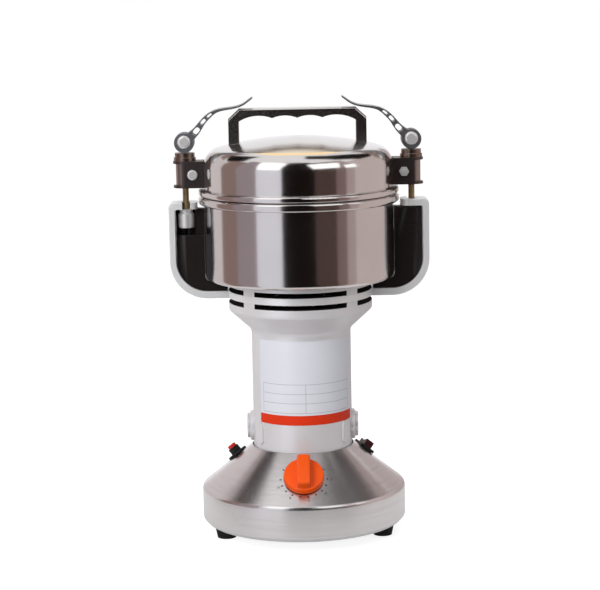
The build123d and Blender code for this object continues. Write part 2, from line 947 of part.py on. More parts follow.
def bowl_screws():
    """Screws from inside the bowl through the seat and the yoke into the housing."""
    floor = bowl_z + bowl_floor
    length = floor - flange_z + bowl_screw_bite - screw_tail
    item = screw(bowl_screw_radius, length, bowl_screw_head_radius, bowl_screw_head_height)
    return group(Pos(*polar(bowl_screw_place, angle), floor) * item for angle in post_angles)


def blade(radius, flat, lift, bottom):
    """Cutter bar with bent and tapered ends."""
    top = bottom + blade_thickness
    corners = [
        (-radius, bottom + lift),
        (-flat, bottom),
        (flat, bottom),
        (radius, bottom + lift),
        (radius, top + lift),
        (flat, top),
        (-flat, top),
        (-radius, top + lift),
    ]
    bar = extrude(Plane.XZ * rounded(corners), blade_width, both=True)
    half = blade_width / 2
    height = lift + blade_thickness + 2 * overrun
    plan = [
        (-radius, -half),
        (-flat, -half),
        (flat, -half),
        (radius, half - blade_tip_width),
        (radius, half),
        (flat, half),
        (-flat, half),
        (-radius, blade_tip_width - half),
    ]
    bar &= Pos(0, 0, bottom - overrun) * extrude(rounded(plan), height)
    return bar - disc(shaft_radius + fit, bottom - overrun, top + overrun)


def lower_blade():
    """Long cutter just above the bowl's floor."""
    radius = bowl_radius - lower_blade_gap
    return blade(radius, radius - lower_blade_end, lower_blade_lift, collar_top)


def blade_spacer():
    """Sleeve between the two cutters."""
    return ring(blade_spacer_radius, shaft_radius + fit, lower_blade_top, upper_blade_z)


def upper_blade():
    """Upper cutter, square to the lower one, with ends bent up."""
    radius = bowl_radius - upper_blade_gap
    bar = blade(radius, radius - upper_blade_end, upper_blade_lift, upper_blade_z)
    return Rot(0, 0, 90) * bar


def blade_nut():
    """Domed nut on top of the cutters."""
    item = nut(blade_nut_radius, shaft_thread_radius + fit, blade_nut_height)
    corners = [
        (0, blade_nut_height),
        (blade_nut_dome_radius, blade_nut_height),
        (blade_nut_dome_radius, blade_nut_height + blade_nut_dome_height),
        (0, blade_nut_height + blade_nut_dome_height),
    ]
    dome = lathe(corners, [(corners[2], blade_nut_dome_height * (1 - head_round_share))])
    dome -= disc(shaft_thread_radius + fit, blade_nut_height - overrun, blade_nut_height + fit)
    return Pos(0, 0, upper_blade_top) * (item + dome)


def lid_outline(radius, edge, top, low_corners):
    """Half outline of a domed form: corners up the outside, then the dome to the axis."""
    bend = (radius**2 + (top - edge) ** 2) / (2 * (top - edge))
    half = radius / 2
    middle = (half, top - bend + sqrt(bend**2 - half**2))
    sides = Polyline((0, top), (0, low_corners[0][1]), *low_corners, (radius, edge))
    return make_face([*sides.edges(), ThreePointArc((radius, edge), middle, (0, top))])


def lid_shell():
    """Spun lid with a brim, a round shoulder and a domed top."""
    low = [(rim_radius, lid_z), (rim_radius, brim_z), (lid_radius, brim_z)]
    face = lid_outline(lid_radius, lid_edge_z, dome_z, low)
    rounds = [
        ((lid_radius, lid_edge_z), lid_shoulder),
        ((rim_radius, lid_z), brim_round),
        ((rim_radius, brim_z), brim_round),
    ]
    for corner, radius in rounds:
        face = fillet(face.vertices().sort_by_distance((*corner, 0))[0], radius)
    inner = lid_radius - lid_sheet
    inner_edge = lid_edge_z - lid_sheet
    hollow = lid_outline(inner, inner_edge, dome_z - lid_sheet, [(inner, lid_z - overrun)])
    corner = hollow.vertices().sort_by_distance((inner, inner_edge, 0))[0]
    hollow = fillet(corner, lid_shoulder - lid_sheet)
    shell = revolve(Plane.XZ * face, Axis.Z) - revolve(Plane.XZ * hollow, Axis.Z)
    groove_outer = gasket_inner + gasket_width + fit
    shell -= ring(groove_outer, gasket_inner - fit, lid_z - overrun, lid_z + gasket_height + fit)
    for side in (-1, 1):
        x = side * (handle_half_width - handle_leg / 2)
        shell -= disc(handle_screw_radius + fit, lid_edge_z - lid_shoulder, dome_z + overrun, x)
    return shell


def lid_liner():
    """Dished inner wall that closes the lid from below."""
    outer = lid_radius - lid_sheet - fit
    bottom = lid_z + liner_lift
    inner = outer - liner_thickness
    corners = [
        (0, bottom),
        (outer, bottom),
        (outer, bottom + liner_rim_height),
        (inner, bottom + liner_rim_height),
        (inner, bottom + liner_thickness),
        (0, bottom + liner_thickness),
    ]
    return lathe(corners)


def lid_gasket():
    """Silicone ring in the brim's groove."""
    return ring(gasket_inner + gasket_width, gasket_inner, lid_z, lid_z + gasket_height)


def lid_handle():
    """Bridge handle with chamfered shoulders and four finger grooves."""
    leg_inner = handle_half_width - handle_leg
    low = lid_edge_z
    groove_top = handle_z - handle_bar
    cusp_z = groove_top - handle_cusp
    corner_z = groove_top - handle_corner_drop
    outer = Polyline(
        (-leg_inner, corner_z),
        (-leg_inner, low),
        (-handle_half_width, low),
        (-handle_half_width, handle_z - handle_chamfer_z),
        (-handle_half_width + handle_chamfer_x, handle_z),
        (handle_half_width - handle_chamfer_x, handle_z),
        (handle_half_width, handle_z - handle_chamfer_z),
        (handle_half_width, low),
        (leg_inner, low),
        (leg_inner, corner_z),
    )
    ends = [(leg_inner, corner_z), (handle_cusp_pitch, cusp_z), (0, cusp_z)]
    ends += [(-handle_cusp_pitch, cusp_z), (-leg_inner, corner_z)]
    grooves = [
        ThreePointArc(a, ((a[0] + b[0]) / 2, groove_top), b) for a, b in zip(ends, ends[1:])
    ]
    face = make_face([*outer.edges(), *grooves])
    handle = extrude(Plane.XZ * face, handle_depth / 2, both=True)
    rims = handle.faces().sort_by(Axis.Y)
    edges = [edge for rim in (rims[0], rims[-1]) for edge in rim.edges().filter_by(GeomType.LINE)]
    edges = [edge for edge in edges if edge.bounding_box().max.Z > handle_z - handle_chamfer_z - overrun]
    edges = [edge for edge in edges if abs(edge.center().X) < handle_half_width - handle_leg / 2]
    handle = chamfer(ShapeList(edges), handle_edge_chamfer)
    crown = lid_outline(lid_radius, lid_edge_z, dome_z, [(lid_radius, lid_edge_z - handle_rise)])
    handle -= revolve(Plane.XZ * crown, Axis.Z)
    for side in (-1, 1):
        x = side * (handle_half_width - handle_leg / 2)
        foot = dome_at(abs(x))
        handle -= disc(handle_screw_radius + fit, low - overrun, foot + handle_screw_bite, x)
    return handle


def handle_screws():
    """Screws from inside the lid up into the handle's legs."""
    x = handle_half_width - handle_leg / 2
    seat = inner_dome_at(x + handle_screw_head_radius) - seat_gap
    length = dome_at(x) + handle_screw_bite - screw_tail - seat
    item = screw(handle_screw_radius, length, handle_screw_head_radius, handle_screw_head_height)
    return group(Pos(side * x, 0, seat) * Rot(180, 0, 0) * item for side in (-1, 1))


def grip_screw_outline(spare):
    """Flush screw along +Z with its head end at height zero, grown by a spare width."""
    tip = -grip_screw_length - spare
    return lathe(
        [
            (0, tip),
            (grip_screw_radius + spare, tip),
            (grip_screw_radius + spare, -grip_screw_head_depth),
            (grip_screw_head_radius + spare, 0),
            (0, 0),
        ]
    )


grip_screw_at = Pos(arm_outer, 0, yoke_z + grip_screw_rise) * Rot(0, 90, 0)


def yoke_arm():
    """Upright arm on the right, with a slotted shelf at its top."""
    root = (flange_bore_radius + flange_radius) / 2
    corners = [
        (root, yoke_z),
        (arm_outer, yoke_z),
        (arm_outer, arm_top),
        (shelf_end, arm_top),
        (shelf_end, shelf_z),
        (arm_inner, shelf_z),
        (arm_inner, yoke_top),
        (root, yoke_top),
    ]
    rounds = [
        ((arm_outer, yoke_z), arm_bend),
        ((arm_inner, yoke_top), arm_bend - arm_thickness),
        ((arm_outer, arm_top), arm_top_round),
        ((arm_inner, shelf_z), shelf_inner_round),
    ]
    arm = extrude(Plane.XZ * rounded(corners, rounds), arm_width / 2, both=True)
    ends = arm.edges().filter_by(Axis.Z).filter_by_position(Axis.X, shelf_end - fit, shelf_end + fit)
    arm = fillet(ends, shelf_round)
    reach = rod_radius + slot_gap
    low = shelf_z - overrun
    high = arm_top + overrun
    arm -= sector(clamp_radius + reach, clamp_radius - reach, low, high, slot_sweep / 2, slot_sweep)
    arm -= disc(reach, low, high, clamp_radius)
    return arm - grip_screw_at * grip_screw_outline(fit)


def yoke():
    """Ring between the housing and the bowl's seat, with an arm on each side."""
    frame = ring(flange_radius, flange_bore_radius, yoke_z, yoke_top)
    frame += around(yoke_arm(), (0, 180))
    for angle in post_angles:
        x, y = polar(bowl_screw_place, angle)
        frame -= disc(bowl_screw_radius + fit, yoke_z - overrun, yoke_top + overrun, x, y)
    return frame


def grip(side):
    """Black socket between an arm and the bowl, with its upper half cut away towards the lid's turn."""
    low = yoke_top + seat_gap
    top = shelf_z - seat_gap
    near = bowl_radius + grip_gap
    plan = Pos((near + clamp_radius) / 2, 0) * Rectangle(clamp_radius - near, 2 * grip_radius)
    plan += Pos(clamp_radius, 0) * Circle(grip_radius)
    body = Pos(0, 0, low) * extrude(plan, top - low)
    crown = body.faces().sort_by(Axis.Z)[-1].edges().filter_by(GeomType.CIRCLE)
    body = fillet(crown, shelf_inner_round)
    foot_end = flange_radius + grip_gap
    body += block((foot_end, -grip_radius, low), (near + overrun, grip_radius, bowl_z - grip_gap))
    notch_z = shelf_z - grip_notch_drop
    body -= disc(grip_bore_radius, notch_z - grip_floor_drop, top + overrun, clamp_radius)
    reach = grip_radius + overrun
    body -= block((near - overrun, 0, notch_z), (clamp_radius + reach, reach, top + overrun))
    bend = arm_bend - arm_thickness
    corner = block((arm_inner - bend, -arm_width, yoke_top), (arm_outer, arm_width, yoke_top + bend))
    inside = Rot(90, 0, 0) * Cylinder(bend - seat_gap, 2 * arm_width)
    body -= corner - Pos(arm_inner - bend, 0, yoke_top + bend) * inside
    body -= grip_screw_at * grip_screw_outline(fit)
    return Rot(0, 0, 90 - 90 * side) * body


def grip_left():
    """Socket of the left arm."""
    return grip(-1)


def grip_right():
    """Socket of the right arm."""
    return grip(1)


def grip_screws():
    """Flush screws through the arms into the sockets."""
    return group(around(grip_screw_at * grip_screw_outline(0), (0, 180)))


lug_screw_x = clamp_radius - lug_screw_inset
lug_middle_z = lug_z + lug_height / 2
lug_inner_half = lug_lip_radius - lug_cheek


def lug_plan(half):
    """Outline from the lid's middle out to a round end at the rod."""
    bar = Pos(clamp_radius / 2, 0) * Rectangle(clamp_radius, 2 * half)
    return bar + Pos(clamp_radius, 0) * Circle(half)


def lug(side):
    """Bracket on the lid: two lips, two cheeks and a web against the wall."""
    bracket = Pos(0, 0, lug_z) * extrude(lug_plan(lug_lip_radius), lug_height)
    bracket -= disc(lid_radius + fit, lug_z - overrun, lug_top + overrun)
    low = lug_z + lug_lip_thickness
    high = lug_top - lug_lip_thickness
    far = clamp_radius + lug_lip_radius + overrun
    web = lid_radius + lug_web
    bracket -= block((web, -lug_inner_half, low), (far, lug_inner_half, high))
    cheek_end = clamp_radius + lug_cheek_reach
    bracket -= block((cheek_end, -lug_lip_radius, low), (far, lug_lip_radius, high))
    bracket -= disc(rod_radius + fit, lug_z - overrun, lug_top + overrun, clamp_radius)
    hole = Pos(lug_screw_x, 0, lug_middle_z) * Rot(90, 0, 0)
    bracket -= hole * Cylinder(lug_screw_radius + fit, 2 * lug_lip_radius + overrun)
    return Rot(0, 0, 90 - 90 * side) * bracket


def lug_left():
    """Bracket of the left clamp."""
    return lug(-1)


def lug_right():
    """Bracket of the right clamp."""
    return lug(1)


def lug_blocks():
    """Guide blocks between the cheeks, bored for the rods and the cross screws."""
    half = lug_inner_half - fit
    low = lug_z + lug_lip_thickness + fit
    high = lug_top - lug_lip_thickness - fit
    body = Pos(0, 0, low) * extrude(lug_plan(half), high - low)
    web = lid_radius + lug_web + fit
    body -= block((0, -lug_lip_radius, low - overrun), (web, lug_lip_radius, high + overrun))
    body -= disc(rod_radius + fit, low - overrun, high + overrun, clamp_radius)
    hole = Pos(lug_screw_x, 0, lug_middle_z) * Rot(90, 0, 0)
    body -= hole * Cylinder(lug_screw_radius + fit, 2 * lug_lip_radius)
    return group(around(body, (0, 180)))


def lug_screws():
    """Cross screws of the lugs, each with its nut."""
    length = 2 * lug_lip_radius + lug_nut_height + screw_tail
    item = screw(lug_screw_radius, length, lug_screw_head_radius, lug_screw_head_height)
    end = nut(lug_nut_radius, lug_screw_radius + fit, lug_nut_height)
    pair = [item, Pos(0, 0, -2 * lug_lip_radius - lug_nut_height) * end]
    place = Pos(lug_screw_x, lug_lip_radius, lug_middle_z) * Rot(-90, 0, 0)
    shapes = [place * shape for shape in pair]
    return group(turned for shape in shapes for turned in around(shape, (0, 180)))


def clamp_rods():
    """Rods with an eye for the lever's pin."""
    rod = disc(rod_radius, clamp_nut_z + screw_tail, pin_z, clamp_radius)
    eye = Pos(clamp_radius, 0, pin_z) * Rot(90, 0, 0)
    rod += eye * Cylinder(rod_eye_radius, rod_eye_width)
    rod -= eye * Cylinder(pin_radius + fit, rod_eye_width + overrun)
    return group(around(rod, (0, 180)))


def clamp_nuts():
    """Long round nuts on the rods, which pull up under the shelves."""
    neck_z = clamp_nut_top - clamp_nut_neck_height
    bore = rod_radius + fit
    corners = [
        (bore, clamp_nut_z),
        (clamp_nut_radius, clamp_nut_z),
        (clamp_nut_radius, neck_z),
        (clamp_nut_neck_radius, neck_z),
        (clamp_nut_neck_radius, clamp_nut_top),
        (bore, clamp_nut_top),
    ]
    rounds = [(corners[1], clamp_nut_round), (corners[2], clamp_nut_round)]
    return group(around(Pos(clamp_radius, 0, 0) * lathe(corners, rounds), (0, 180)))


def clamp_collars():
    """Stepped collars that the cams press on."""
    step_z = lug_top + collar_seat_height * collar_step_share
    top = lug_top + collar_seat_height
    collar = disc(collar_seat_radius, lug_top, step_z) + disc(collar_step_radius, step_z, top)
    collar -= disc(rod_radius + fit, lug_top - overrun, top + overrun)
    return group(around(Pos(clamp_radius, 0, 0) * collar, (0, 180)))


def lever_spine():
    """Points along the lever's middle line with its half width and direction there."""
    points = [(u * lever_reach, w * lever_rise, h * eye_radius) for u, w, h in lever_spine_shares]
    spine = []
    for index, (x, z, half) in enumerate(points):
        before = points[max(index - 1, 0)]
        after = points[min(index + 1, len(points) - 1)]
        spine.append((x, z, half, atan2(after[1] - before[1], after[0] - before[0])))
    return spine


def lever(side):
    """Cam lever: a forked eye, an arm with three windows and a thin curved tail."""
    spine = lever_spine()
    upper = [(x - half * sin(a), z + half * cos(a)) for x, z, half, a in spine]
    lower = [(x + half * sin(a), z - half * cos(a)) for x, z, half, a in spine]
    outline = [
        Spline(*upper),
        Line(upper[-1], lower[-1]),
        Spline(*lower[::-1]),
        Line(lower[0], upper[0]),
    ]
    face = make_face(outline) + Circle(eye_radius)
    for index, length_share in lever_window_shares:
        x, z, half, a = spine[index]
        window = SlotOverall(length_share * eye_radius, 2 * (half - lever_rail))
        face -= Pos(x, z) * Rot(0, 0, degrees(a)) * window
    body = extrude(Plane.XZ * face, lever_width / 2, both=True)
    pin = Pos(0, 0, cam_throw) * Rot(90, 0, 0)
    body -= pin * Cylinder(lever_fork_radius, rod_eye_width + 2 * lever_fork_gap)
    body -= pin * Cylinder(pin_radius + fit, lever_width + overrun)
    place = Pos(-clamp_radius, 0, eye_z) * body
    return Rot(0, 0, 90 + 90 * side) * place


def lever_left():
    """Cam lever of the left clamp."""
    return lever(-1)


def lever_right():
    """Cam lever of the right clamp."""
    return lever(1)


def lever_pins():
    """Domed pins through the eyes of the levers and the rods."""
    half = lever_width / 2 + pin_gap
    top = half + pin_head_height
    corners = [
        (0, -top),
        (pin_head_radius, -top),
        (pin_head_radius, -half),
        (pin_radius, -half),
        (pin_radius, half),
        (pin_head_radius, half),
        (pin_head_radius, top),
        (0, top),
    ]
    dome = pin_head_height * pin_dome_share
    pin = lathe(corners, [(corners[1], dome), (corners[6], dome)])
    return group(around(Pos(clamp_radius, 0, pin_z) * Rot(90, 0, 0) * pin, (0, 180)))


timer_top = box_top(timer_place, timer_body_half, timer_body_up)


def timer_body():
    """Clockwork box under the cone with a threaded neck through it."""
    top = timer_top
    half = timer_body_half
    body = block((-half, -timer_body_down, top - timer_body_depth), (half, timer_body_up, top))
    body += disc(timer_boss_radius, top, box_top(timer_place, timer_boss_radius, timer_boss_radius))
    body += disc(timer_neck_radius, top, timer_neck_height)
    body -= disc(timer_shaft_radius + fit, top - timer_shaft_tail, timer_neck_height + overrun)
    return timer_at * body


def timer_nut():
    """Nut that holds the timer to the cone."""
    return timer_at * nut(timer_nut_radius, timer_neck_radius + fit, timer_nut_height)


def timer_shaft():
    """Spindle from the clockwork into the knob."""
    bottom = timer_top - timer_shaft_tail + seat_gap
    return timer_at * disc(timer_shaft_radius, bottom, knob_lift + knob_bore_depth - seat_gap)


def timer_knob():
    """Round knob with a raised bar across it."""
    foot = knob_radius + knob_draft
    corners = [(0, 0), (foot, 0), (knob_radius, knob_disc), (0, knob_disc)]
    knob = lathe(corners, [(corners[2], knob_round)])
    bar = Rectangle(knob_fin_width, 2 * foot)
    bar = extrude(bar, knob_disc + knob_fin_height, taper=knob_fin_draft / 2)
    trim = knob_radius - knob_round
    bar &= disc(trim, 0, knob_disc + knob_fin_height)
    bar = fillet(bar.faces().sort_by(Axis.Z)[-1].edges(), knob_fin_round)
    knob += bar
    knob -= disc(knob_pocket_radius, -overrun, knob_pocket_depth)
    knob -= disc(timer_shaft_radius + fit, -overrun, knob_bore_depth)
    return timer_at * Pos(0, 0, knob_lift) * knob


def reset_body():
    """Overload breaker under the cone with its threaded bush."""
    top = box_top(reset_place, reset_body_half, reset_body_up)
    half = reset_body_half
    body = block((-half, -reset_body_down, top - reset_body_depth), (half, reset_body_up, top))
    body += disc(reset_bush_radius, top, reset_bush_height)
    bore_z = -reset_button_sink - reset_travel - seat_gap
    body -= disc(reset_button_radius + fit, bore_z, reset_bush_height + overrun)
    return reset_at * body


def reset_nut():
    """Round flange nut on the bush."""
    corners = [
        (reset_bush_radius + fit, 0),
        (reset_flange_radius, 0),
        (reset_flange_radius, reset_flange_height),
        (reset_bush_radius + fit, reset_flange_height),
    ]
    return reset_at * lathe(corners, [(corners[2], reset_flange_height * head_round_share)])


def reset_button():
    """Red push button in the bush."""
    top = reset_bush_height + reset_button_stand
    corners = [
        (0, -reset_button_sink),
        (reset_button_radius, -reset_button_sink),
        (reset_button_radius, top),
        (0, top),
    ]
    return reset_at * lathe(corners, [(corners[2], reset_button_round)])


rocker_half = switch_body_length / 2 - switch_wall - rocker_gap
rocker_half_width = switch_body_width / 2 - switch_wall - rocker_gap


def switch_housing():
    """Snap-in frame of the rocker switch with its body under the cone."""
    bezel = RectangleRounded(switch_bezel_length, switch_bezel_width, switch_bezel_round)
    size = (switch_body_length / 2, switch_body_width / 2)
    frame = extrude(bezel, switch_bezel_height)
    frame += block((-size[0], -size[1], -switch_body_depth), (*size, 0))
    inner = (size[0] - switch_wall, size[1] - switch_wall)
    frame -= block((-inner[0], -inner[1], -switch_pocket_depth), (*inner, switch_bezel_height + overrun))
    frame -= Rot(90, 0, 0) * Cylinder(rocker_pin_radius + fit, 2 * inner[1] + 2 * rocker_pin_length)
    return switch_at * frame


def switch_rocker():
    """Rocker with two sloping halves, tilted on its pins towards the back."""
    corners = [
        (-rocker_half, 0),
        (-rocker_heel, -rocker_heel),
        (rocker_heel, -rocker_heel),
        (rocker_half, 0),
        (rocker_half - rocker_gap, rocker_stand),
        (0, rocker_stand - rocker_waist),
        (rocker_gap - rocker_half, rocker_stand),
    ]
    body = extrude(Plane.XZ * rounded(corners), rocker_half_width, both=True)
    reach = switch_body_width / 2 - switch_wall + rocker_pin_length - seat_gap
    body += Rot(90, 0, 0) * Cylinder(rocker_pin_radius, 2 * reach)
    return switch_at * Rot(0, rocker_tilt, 0) * body


def cord_gland():
    """Rubber bush in the back of the skirt, where a cord would enter."""
    inner_wall = base_radius - base_sheet
    sag = inner_wall - sqrt(inner_wall**2 - gland_inner_radius**2)
    shoulder = -base_sheet - sag - seat_gap
    end = shoulder - gland_inner_height
    corners = [
        (gland_bore_radius, end),
        (gland_inner_radius, end),
        (gland_inner_radius, shoulder),
        (gland_neck_radius, shoulder),
        (gland_neck_radius, 0),
        (gland_flange_radius, 0),
        (gland_flange_radius, gland_flange_height),
        (gland_bore_radius, gland_flange_height),
    ]
    return gland_at * lathe(corners, [(corners[6], gland_flange_height * head_round_share)])


PIECES = (
    base_shell, base_plate, feet, foot_screws, foot_nuts, motor_pillars, motor_screws,
    timer_body, timer_nut, timer_shaft, timer_knob, reset_body, reset_nut, reset_button,
    switch_housing, switch_rocker, cord_gland, motor_housing, end_bell, lower_bearing,
    stator_core, field_coils, brush_holders, carbon_brushes, brush_springs, brush_caps,
    motor_shaft, armature_core, armature_winding, commutator, cooling_fan, bowl_seat,
    upper_bearing, shaft_seal, bowl, bowl_screws, lower_blade, blade_spacer, upper_blade,
    blade_nut, lid_shell, lid_liner, lid_gasket, lid_handle, handle_screws, yoke, grip_left,
    grip_right, grip_screws, lug_left, lug_right, lug_blocks, lug_screws, clamp_rods,
    clamp_nuts, clamp_collars, lever_pins, lever_left, lever_right,
)


def main():
    """Builds every piece and writes it to a file of its own."""
    os.makedirs("parts", exist_ok=True)
    for piece in PIECES:
        export_step(piece(), f"parts/{piece.__name__}.step")


main()
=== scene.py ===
"""Looks of an electric grinding mill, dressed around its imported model."""
import json
import logging
import math
from dataclasses import dataclass, replace
from enum import Enum
from functools import partial, reduce
from typing import Callable, ClassVar

import bpy
from mathutils import Matrix, Vector

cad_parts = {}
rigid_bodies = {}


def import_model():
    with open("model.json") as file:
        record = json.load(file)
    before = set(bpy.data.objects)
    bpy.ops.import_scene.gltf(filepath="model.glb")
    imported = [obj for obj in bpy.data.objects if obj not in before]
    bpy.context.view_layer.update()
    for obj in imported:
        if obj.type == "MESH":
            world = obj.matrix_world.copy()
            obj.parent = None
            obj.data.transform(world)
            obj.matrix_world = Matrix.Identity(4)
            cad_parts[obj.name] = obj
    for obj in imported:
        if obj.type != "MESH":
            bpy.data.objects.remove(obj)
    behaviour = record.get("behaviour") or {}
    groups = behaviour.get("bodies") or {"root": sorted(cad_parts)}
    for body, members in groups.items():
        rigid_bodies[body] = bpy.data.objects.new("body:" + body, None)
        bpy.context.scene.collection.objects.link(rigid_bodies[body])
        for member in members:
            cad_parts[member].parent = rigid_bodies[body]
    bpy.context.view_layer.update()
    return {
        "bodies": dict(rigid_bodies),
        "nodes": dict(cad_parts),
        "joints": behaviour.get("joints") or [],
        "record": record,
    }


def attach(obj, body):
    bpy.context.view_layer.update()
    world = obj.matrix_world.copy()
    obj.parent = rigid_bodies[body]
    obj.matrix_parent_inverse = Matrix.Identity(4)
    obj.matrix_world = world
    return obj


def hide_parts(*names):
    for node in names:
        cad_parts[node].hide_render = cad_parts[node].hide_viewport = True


log = logging.getLogger("grinding_mill")

Triple = tuple[float, float, float]
Colour = Triple
Span = tuple[float, float]
Names = tuple[str, ...]
Numbers = tuple[float, ...]
Piece = bpy.types.Object
Node = bpy.types.Node
Socket = bpy.types.NodeSocket
Tree = bpy.types.NodeTree

MM = 0.001
UNIT = (0.0, 1.0)
WHITE = (1.0, 1.0, 1.0)
ORIGIN = (0.0, 0.0, 0.0)
SMOOTH_ANGLE = math.radians(30)
WAVE_RATE = 20.0  # radians in a unit of a wave texture


class Body(str, Enum):
    """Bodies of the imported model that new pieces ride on."""

    STAND = "stand"


class Slot(str, Enum):
    """Material slots of the record, passed along with new pieces."""

    PRINT = "silver_paint"
    DIAL = "black_matte"
    SOCKET = "black_gloss"


class Kind(str, Enum):
    """Types of a node group's sockets."""

    NUMBER = "NodeSocketFloat"
    VECTOR = "NodeSocketVector"


class Level(Enum):
    """Parts of a mesh to select, in the order of Blender's select modes."""

    POINTS = "vertices"
    EDGES = "edges"
    FACES = "polygons"


class Joining(str, Enum):
    """Ways in which one solid changes another."""

    CUT = "DIFFERENCE"
    UNITE = "UNION"


class Graph:
    """Adds and joins the nodes of one node tree."""

    def __init__(self, tree: Tree) -> None:
        """Keeps the tree that the nodes go into."""
        self.tree = tree

    def add(self, kind: str, **settings: object) -> Node:
        """Adds a node.

        Args:
            kind: Type name of the node.
            **settings: Properties to set on it.

        Returns:
            The new node.
        """
        node = self.tree.nodes.new(kind)
        for name, value in settings.items():
            setattr(node, name, value)
        return node

    def feed(self, node: Node, values: dict[str | int, object]) -> Node:
        """Joins inputs of a node to other sockets, or sets their values.

        Args:
            node: Node to feed.
            values: Output sockets or plain values, by the input's name or number.

        Returns:
            The same node.
        """
        for key, value in values.items():
            if isinstance(value, Socket):
                self.tree.links.new(value, node.inputs[key])
            else:
                node.inputs[key].default_value = value
        return node

    def math(self, operation: str, *terms: object) -> Socket:
        """Adds a sum.

        Args:
            operation: Name of the sum.
            *terms: Sockets or numbers that go into it.

        Returns:
            Socket with the result.
        """
        node = self.add("ShaderNodeMath", operation=operation)
        return self.feed(node, dict(enumerate(terms))).outputs[0]

    def remap(self, value: Socket, ends: Span = UNIT, results: Span = UNIT) -> Socket:
        """Moves a value from one range to another.

        Args:
            value: Socket to read.
            ends: Both ends of its range.
            results: Results at these ends.

        Returns:
            Socket with the result.
        """
        node = self.add("ShaderNodeMapRange")
        return self.feed(node, dict(enumerate((value, *ends, *results)))).outputs[0]

    def blend(self, mask: Socket, first: object, second: object) -> Socket:
        """Mixes two colours.

        Args:
            mask: Share of the second colour.
            first: First colour or socket.
            second: Second colour or socket.

        Returns:
            Socket with the mixed colour.
        """
        node = self.add("ShaderNodeMix", data_type="RGBA")
        numbers = {socket.identifier: number for number, socket in enumerate(node.inputs)}
        for name, term in (("Factor_Float", mask), ("A_Color", first), ("B_Color", second)):
            self.feed(node, {numbers[name]: (*term, 1) if isinstance(term, tuple) else term})
        return next(socket for socket in node.outputs if socket.identifier == "Result_Color")

    def noise(self, vector: Socket, scale: object, detail: float) -> Socket:
        """Adds a noise pattern.

        Args:
            vector: Place to read it at.
            scale: Number of features in a unit.
            detail: Layers of finer noise.

        Returns:
            Socket with its value.
        """
        node = self.add("ShaderNodeTexNoise")
        return self.feed(node, {"Vector": vector, "Scale": scale, "Detail": detail}).outputs["Fac"]

    def layers(self, spacing: float, wander: float = 0.0, **settings: object) -> Socket:
        """Adds waves, one above the other.

        Args:
            spacing: Height of one wave.
            wander: How far the waves stray.
            **settings: Properties to set on their node.

        Returns:
            Socket with their height.
        """
        node = self.add("ShaderNodeTexWave", bands_direction="Z", **settings)
        scale = 2 * math.pi / (WAVE_RATE * spacing)
        self.feed(node, {"Vector": self.place(), "Scale": scale, "Distortion": wander})
        return node.outputs["Fac"]

    def use(self, group: Tree, values: dict[str, float]) -> Node:
        """Node of a shared group with these values."""
        return self.feed(self.add("ShaderNodeGroup", node_tree=group), values)

    def place(self) -> Socket:
        """Socket with the piece's own coordinates."""
        return self.add("ShaderNodeTexCoord").outputs["Object"]

    def axes(self) -> tuple[Socket, ...]:
        """Sockets with the piece's own X, Y and Z."""
        return tuple(self.feed(self.add("ShaderNodeSeparateXYZ"), {0: self.place()}).outputs)

    def reach(self, x: Socket, y: Socket) -> Socket:
        """Socket with the distance from the upright axis."""
        squares = self.math("MULTIPLY", x, x), self.math("MULTIPLY", y, y)
        return self.math("SQRT", self.math("ADD", *squares))


